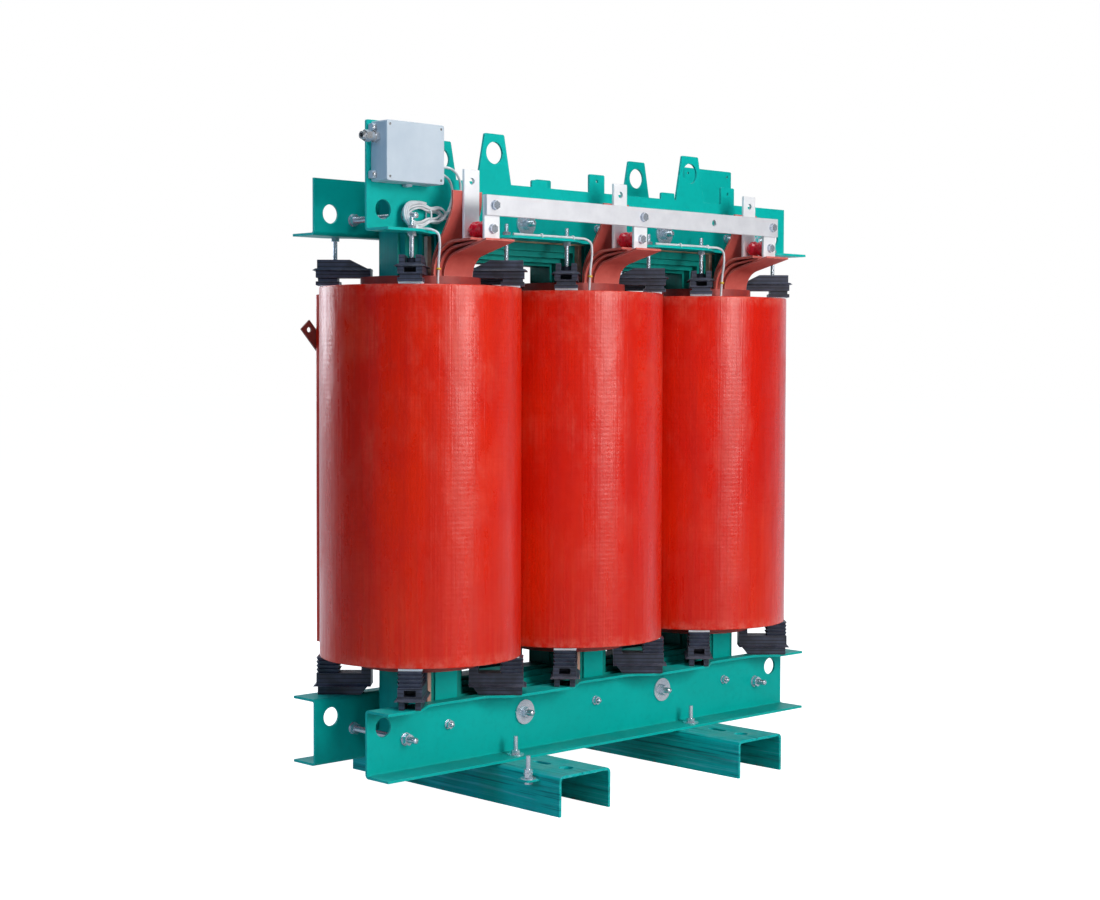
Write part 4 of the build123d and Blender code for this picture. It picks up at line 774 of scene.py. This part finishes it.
dress(palette["cable_sheath"], "sensor_cable_left", "sensor_cable_middle", "sensor_cable_right",
      "cable_bundle", "box_cables")
print("materials", len(palette))

# %% [markdown]
# ## A helper for worked-out surfaces
# The pieces from here on are not in the solids' shape, or are finer than them:
# screw threads, tied wire, cable ties and lugs. Each is a grid of points worked out
# from two parameters, for example the way round and the way along. One helper
# turns such a grid into a mesh, so that each piece only needs its formula.

# %% Grid to mesh
def grid_faces(rows, columns, closed_rows, offset=0):
    """The quads of a grid: each joins a point, its right neighbour and the two above them."""
    row = np.arange(rows if closed_rows else rows - 1)[:, None]
    column = np.arange(columns)[None, :]
    above = (row + 1) % rows
    right = (column + 1) % columns
    quads = np.stack([row * columns + column, row * columns + right,
                      above * columns + right, above * columns + column], axis=-1)
    return quads.reshape(-1, 4) + offset


print("a grid of 3 rows and 4 columns has", len(grid_faces(3, 4, False)), "quads")

# %% [markdown]
# ## From grids to a piece
# Grids that belong together become one object. Points that fall on each other are
# merged, which shuts the ends that shrink to a point, and the normals are turned
# outward. The piece then rides on the body and takes the slot of its material.

# %% Pieces from grids
def surface_piece(name, grids, slot_name, replaced=(), closed_rows=False, finish_name=None):
    """Joins grids of points, each an array of rows, columns and 3, into one object on the body.

    replaced names the nodes of the solids that it stands in for. closed_rows joins the
    last row to the first."""
    points, faces, offset = [], [], 0
    for grid in grids:
        rows, columns = grid.shape[:2]
        quads = grid_faces(rows, columns, closed_rows, offset)
        faces.append(quads)
        points.append(grid.reshape(-1, 3))
        offset += rows * columns
    mesh = bpy.data.meshes.new(name)
    mesh.from_pydata(np.concatenate(points).tolist(), [], np.concatenate(faces).tolist())
    built = bmesh.new()
    built.from_mesh(mesh)
    bmesh.ops.remove_doubles(built, verts=built.verts, dist=1e-6)
    bmesh.ops.recalc_face_normals(built, faces=built.faces)
    built.to_mesh(mesh)
    built.free()
    mesh.shade_smooth()
    piece = bpy.data.objects.new(name, mesh)
    bpy.context.scene.collection.objects.link(piece)
    mesh.materials.append(palette[finish_name or slot_name])
    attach(piece, "root")
    if replaced:
        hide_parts(*replaced)
    print(name, len(mesh.polygons), "faces")
    return piece


x_axis, y_axis, z_axis = (1.0, 0.0, 0.0), (0.0, 1.0, 0.0), (0.0, 0.0, 1.0)
print("axes", x_axis, y_axis, z_axis)

# %% [markdown]
# ## Threaded rods
# The studs that press on the support blocks, the tie rods and the bolts through
# the yokes are cut with a metric thread from end to end. A thread can be a bump
# in the material, but against a pale background its outline would be smooth.
# Here it is real relief: the radius falls and rises with the distance along the
# rod, less the turn's share of one pitch, which makes a right-hand helix.

# %% Thread surface
around_rod = 20
rows_a_turn = 4
depth_share = 0.6


def thread(start, end, radius, pitch):
    """Radius = crest - depth * triangle(way along / pitch - turn), closed to a point at both ends.

    The triangle wave goes from 0 to 1 and back in one pitch, and the depth is a fixed
    share of the pitch. The chamfer brings the crests down to the root at both ends."""
    start, end = np.array(start), np.array(end)
    length = np.linalg.norm(end - start)
    axis = (end - start) / length
    side = np.cross(axis, (0.577, 0.577, 0.577))
    side /= np.linalg.norm(side)
    up = np.cross(axis, side)
    along = np.linspace(0.0, length, int(length / pitch * rows_a_turn) + 1)[:, None]
    turn = np.arange(around_rod)[None, :] / around_rod
    wave = np.abs((along / pitch - turn) % 1.0 - 0.5) * 2.0
    chamfer = np.minimum(1.0, np.minimum(along, length - along) / (0.7 * pitch))
    depth = depth_share * pitch
    reach = radius - depth * wave - depth * (1.0 - chamfer) * (1.0 - wave)
    outward = side * np.cos(2 * np.pi * turn)[..., None] + up * np.sin(2 * np.pi * turn)[..., None]
    spots = start + axis * along[..., None] + reach[..., None] * outward
    ends = [np.broadcast_to(point, (1, around_rod, 3)) for point in (start, end)]
    return np.concatenate([ends[0], spots, ends[1]], axis=0)


print("a stud of 32.5 mm is", thread((0.0, 0.0, 0.0), (0.0325, 0.0, 0.0), 0.006, 0.00175).shape)

# %% [markdown]
# ## The threads
# Studs and bolts of 12 mm stand at each leg, rods and bolts of 16 mm between the
# clamps. Each set takes the place of the plain rods in the solids.

# %% Threads of studs, rods and bolts
leg_places = (-0.5084, 0.0160, 0.5404)
both_sides = (-1, 1)
m12_radius, m12_pitch = 0.006, 0.00175
m16_radius, m16_pitch = 0.008, 0.002
screw_offset = 0.1554
screw_y = 0.150
screw_foot, screw_top = 1.3487, 1.4605
rod_places, rod_levels, rod_reach = (-0.6470, 0.6790), (0.1834, 1.4661), 0.1477
bolt_places, bolt_levels, bolt_reach = (-0.2462, 0.2782), (0.2034, 1.4681), 0.1402
leg_bolt_root, leg_bolt_tip = 0.0940, 0.1265
surface_piece("pressure_screw_threads",
              [thread((x + side * screw_offset, y, screw_foot), (x + side * screw_offset, y, screw_top),
                      m12_radius, m12_pitch)
               for x in leg_places for side in both_sides for y in (-screw_y, screw_y)],
              "zinc_steel", ["pressure_screws"])
surface_piece("tie_rod_threads",
              [thread((x, -rod_reach, z), (x, rod_reach, z), m16_radius, m16_pitch)
               for x in rod_places for z in rod_levels],
              "zinc_steel", ["tie_rods"])
surface_piece("yoke_bolt_threads",
              [thread((x, -bolt_reach, z), (x, bolt_reach, z), m16_radius, m16_pitch)
               for x in bolt_places for z in bolt_levels],
              "zinc_steel", ["yoke_bolts"])
surface_piece("leg_bolt_threads",
              [thread((x, side * leg_bolt_root, z), (x, side * leg_bolt_tip, z), m12_radius, m12_pitch)
               for x in leg_places for side in both_sides for z in bolt_levels],
              "zinc_steel", ["leg_bolts"])

# %% [markdown]
# ## Round wire along a path
# Wires and the straps that hold them are the same shape: a small ring carried
# along a path. Blender's curve objects could bevel a path too, but a grid keeps all
# the pieces in one form.

# %% Wire surface
around_wire = 10


def tube(path, radius, reference, closed=False, squash=1.0):
    """A circle carried along a path: point = path + r * (cos a * side + sin a * up).

    Side is the path's direction turned against a reference direction. On an
    open path the radius falls to zero at both ends, so the tube is shut."""
    path = np.asarray(path, dtype=float)
    ahead = np.roll(path, -1, axis=0) - np.roll(path, 1, axis=0)
    if not closed:
        ahead[0], ahead[-1] = path[1] - path[0], path[-1] - path[-2]
    ahead /= np.linalg.norm(ahead, axis=1, keepdims=True)
    side = np.cross(ahead, reference)
    side /= np.linalg.norm(side, axis=1, keepdims=True)
    up = np.cross(side, ahead)
    angle = np.arange(around_wire) / around_wire * 2.0 * np.pi
    ring = (np.cos(angle)[None, :, None] * side[:, None, :] * squash
            + np.sin(angle)[None, :, None] * up[:, None, :])
    grid = path[:, None, :] + radius * ring
    if closed:
        return grid
    shut = [np.broadcast_to(point, (1, around_wire, 3)) for point in (path[0], path[-1])]
    return np.concatenate([shut[0], grid, shut[1]], axis=0)


print("a straight wire of three points is", tube([(0, 0, 0), (1, 0, 0), (2, 0, 0)], 0.1, y_axis).shape)

# %% [markdown]
# ## A path without corners
# A loose wire bends evenly, so its path is a cubic B-spline: each point is a blend
# of four control points, and even the curvature has no jumps. The spline passes
# near its inner control points, not through them.

# %% Spline
def smooth_path(points, steps=12):
    """A cubic B-spline through the middle of its control points, with its two ends held."""
    points = np.asarray(points, dtype=float)
    points = np.concatenate([points[:1], points[:1], points, points[-1:], points[-1:]])
    t = np.linspace(0.0, 1.0, steps, endpoint=False)[:, None, None]
    a, b, c, d = (points[i:len(points) - 3 + i][None] for i in range(4))
    spots = ((1 - t) ** 3 * a + (3 * t ** 3 - 6 * t ** 2 + 4) * b
             + (-3 * t ** 3 + 3 * t ** 2 + 3 * t + 1) * c + t ** 3 * d) / 6.0
    spots = spots.transpose(1, 0, 2).reshape(-1, 3)
    return np.concatenate([spots, points[-1:]])[1:]


print("a spline through three points has", len(smooth_path([(0, 0, 0), (1, 0, 0), (1, 1, 0)])), "points")

# %% [markdown]
# ## Hank of spare wire
# The spare length of the sensors' wires is wound into a small hank and strapped
# behind the flange. Every turn is its own closed loop, a little shorter than the last
# and shifted by a wave of its number, and pinched where the strap pulls them
# together. The pinch is a bell curve of the angle, which narrows the loop's height.

# %% Hank of spare wire
low_corner, high_corner = (np.array(corner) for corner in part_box("cable_bundle"))
hank_middle = (low_corner + high_corner) / 2.0
wire_radius = 0.0027
turn_count = 7
half_size = (0.066, 0.031)
shrink = (0.012, 0.013)
pinch_depth, pinch_at, pinch_width = 0.42, 0.30, 0.36
loops = []
for number in range(turn_count):
    share = number / (turn_count - 1.0)
    sweep = np.linspace(0.0, 2.0 * np.pi, 96, endpoint=False)
    half_length = half_size[0] - shrink[0] * share + 0.004 * np.sin(5.0 * number)
    half_height = half_size[1] - shrink[1] * share
    bell = np.exp(-((np.cos(sweep) - pinch_at) / pinch_width) ** 2)
    pinch = (1.0 - pinch_depth * bell) * (1.0 - 0.16 * np.cos(sweep))
    x = hank_middle[0] + 0.006 + 0.005 * np.sin(3.0 * number) + half_length * np.cos(sweep)
    z = hank_middle[2] + 0.005 * np.cos(2.0 * number) * np.cos(sweep) + half_height * np.sin(sweep) * pinch
    depth = hank_middle[1] - 0.004 + 0.0048 * (number % 3 - 1) + 0.002 * np.sin(2.0 * sweep + number)
    loops.append(tube(np.stack([x, depth, z], axis=1), wire_radius, y_axis, closed=True))
surface_piece("spare_wire_hank", loops, "cable_sheath", ["cable_bundle"], closed_rows=True)

# %% [markdown]
# ## Wires that fall from the hank
# Three wires leave the hank at its left, bend down in an arc and end at a tie on
# the flange. They follow one drawn path, shifted by about a wire's width each.

# %% Falling wires
fall_points = np.array([(-0.604, -0.118, 1.499), (-0.640, -0.121, 1.5035), (-0.664, -0.124, 1.492),
                        (-0.671, -0.128, 1.470), (-0.668, -0.134, 1.448), (-0.657, -0.142, 1.4375),
                        (-0.646, -0.149, 1.4345)])
falls = [tube(smooth_path(fall_points + number * np.array([0.0052, -0.0012, 0.0])), wire_radius, y_axis)
         for number in range(3)]
surface_piece("spare_wire_falls", falls, "cable_sheath")

# %% [markdown]
# ## Cable ties
# One strap holds the hank and one the falling wires, four hold the wires along the
# flange, and three yellow ones sit where the wires drop to the coils. A tie is
# an oval of flat band round what it holds. The heads of the ties aren't made.

# %% Cable ties
band_half_width, band_flatness = 0.0024, 0.6


def tie(centre, half_width, half_height, across, up):
    """An oval strap: point = centre + w cos a * across + h sin a * up, with a flat band as its section."""
    sweep = np.linspace(0.0, 2.0 * np.pi, 40, endpoint=False)[:, None]
    across, up = np.array(across, dtype=float), np.array(up, dtype=float)
    path = np.array(centre) + half_width * np.cos(sweep) * across + half_height * np.sin(sweep) * up
    return tube(path, band_half_width, np.cross(across, up), closed=True, squash=band_flatness)


flange_level = 1.4331
tied_places = (-0.262, -0.150, 0.262, 0.374)
hank_waist = (hank_middle[0] + 0.022, hank_middle[1] - 0.004, hank_middle[2])
white_ties = [tie(hank_waist, 0.0105, 0.0150, y_axis, z_axis),
              tie((-0.645, -0.146, 1.4352), 0.0085, 0.0065, (0.7, 0.7, 0), z_axis)]
white_ties += [tie((x, -0.183, flange_level), 0.0056, 0.0052, y_axis, z_axis) for x in tied_places]
surface_piece("cable_ties", white_ties, "pad_silicone", closed_rows=True)
palette["tie_yellow"] = plain_stuff("tie_yellow", ink(214, 178, 40), ink(226, 196, 70),
                                    roughness=0.5, scale=40.0, strength=0.2)
surface_piece("drop_cable_ties",
              [tie((x - 0.0820, -0.1635, 1.3380), 0.0048, 0.0052, x_axis, y_axis) for x in leg_places],
              "pad_silicone", closed_rows=True, finish_name="tie_yellow")

# %% [markdown]
# ## Lugs of the control box
# The box is held on the clamp's web by small cast lugs, one at each corner of its
# back and one more below. A lug is a superellipsoid: the sines and cosines of an
# ellipsoid are raised to a small power, which fills it out to a block with soft
# corners. A bevelled cube would do, but this needs no modifier.

# %% Lugs
def soft_block(centre, half_sizes, power):
    """Point = centre + half size * sign * |cos or sin| ** power on the two angles of an ellipsoid."""
    lift = np.linspace(-0.5 * np.pi, 0.5 * np.pi, 22)[:, None]
    turn = np.linspace(0.0, 2.0 * np.pi, 40, endpoint=False)[None, :]

    def full(wave):
        return np.sign(wave) * np.abs(wave) ** power

    x = full(np.cos(lift)) * full(np.cos(turn))
    y = full(np.cos(lift)) * full(np.sin(turn))
    z = full(np.sin(lift)) * np.ones_like(turn)
    return np.array(centre) + np.stack([x, y, z], axis=-1) * np.array(half_sizes)


box_low, box_high = (np.array(corner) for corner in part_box("control_box_body"))
lug_half = (0.0075, 0.0095, 0.0095)
lug_y = box_high[1] - 0.0100
lug_inset = 0.016
lug_power = 0.28
lug_x = (box_low[0] - 0.4 * lug_half[0], box_high[0] + 0.4 * lug_half[0])
corners = [(x, z) for x in lug_x for z in (box_high[2] - lug_inset, box_low[2] + lug_inset)]
lugs = [soft_block((x, lug_y, z), lug_half, lug_power) for x, z in corners]
lugs.append(soft_block((box_low[0] + 0.104, lug_y, box_low[2] - 0.002), (0.0095, 0.0095, 0.0045), lug_power))
surface_piece("box_lugs", lugs, "box_paint")

# %% [markdown]
# ## Screws of the lugs
# Each corner lug has a nickel screw. The head is a low dome worked out ring by
# ring, and its slot is a strip across the face where the dome's height is cut. A
# boolean would cut the slot too, but it leaves long thin faces.

# %% Lug screws
def slotted_head(centre, radius, height, slot_angle):
    """A screw head that looks along -Y: its height falls as a parabola towards the rim, less the slot.

    The first ring lies on the back, at the middle, the next at the rim, and the last is the
    middle of the face."""
    reach = np.concatenate([[0.0, 1.0, 1.0], np.linspace(0.96, 0.0, 12)])[:, None] * radius
    turn = np.linspace(0.0, 2.0 * np.pi, 48, endpoint=False)[None, :]
    x, z = reach * np.cos(turn), reach * np.sin(turn)
    dome = height * (1.0 - 0.45 * (reach / radius) ** 2)
    dome[:2] = 0.0
    away = np.abs(x * np.sin(slot_angle) - z * np.cos(slot_angle))
    slot = np.where(away < 0.14 * radius, 0.45 * height, 0.0) * (np.arange(len(reach))[:, None] > 2)
    return np.array(centre) + np.stack([x, -(dome - slot), z], axis=-1)


box_middle = (box_low[0] + box_high[0]) / 2.0
screw_y_place = lug_y - 0.0092
outward_shift = 0.3 * lug_half[0]
surface_piece("box_lug_screws",
              [slotted_head((x + outward_shift * np.sign(x - box_middle), screw_y_place, z),
                            radius=0.0056, height=0.0042, slot_angle=0.7 + 9.0 * z)
               for x, z in corners], "nickel")

# %% [markdown]
# ## Closing
# The lamps are printed with their power.

for light_data in bpy.data.lights:
    print(light_data.name, light_data.energy)
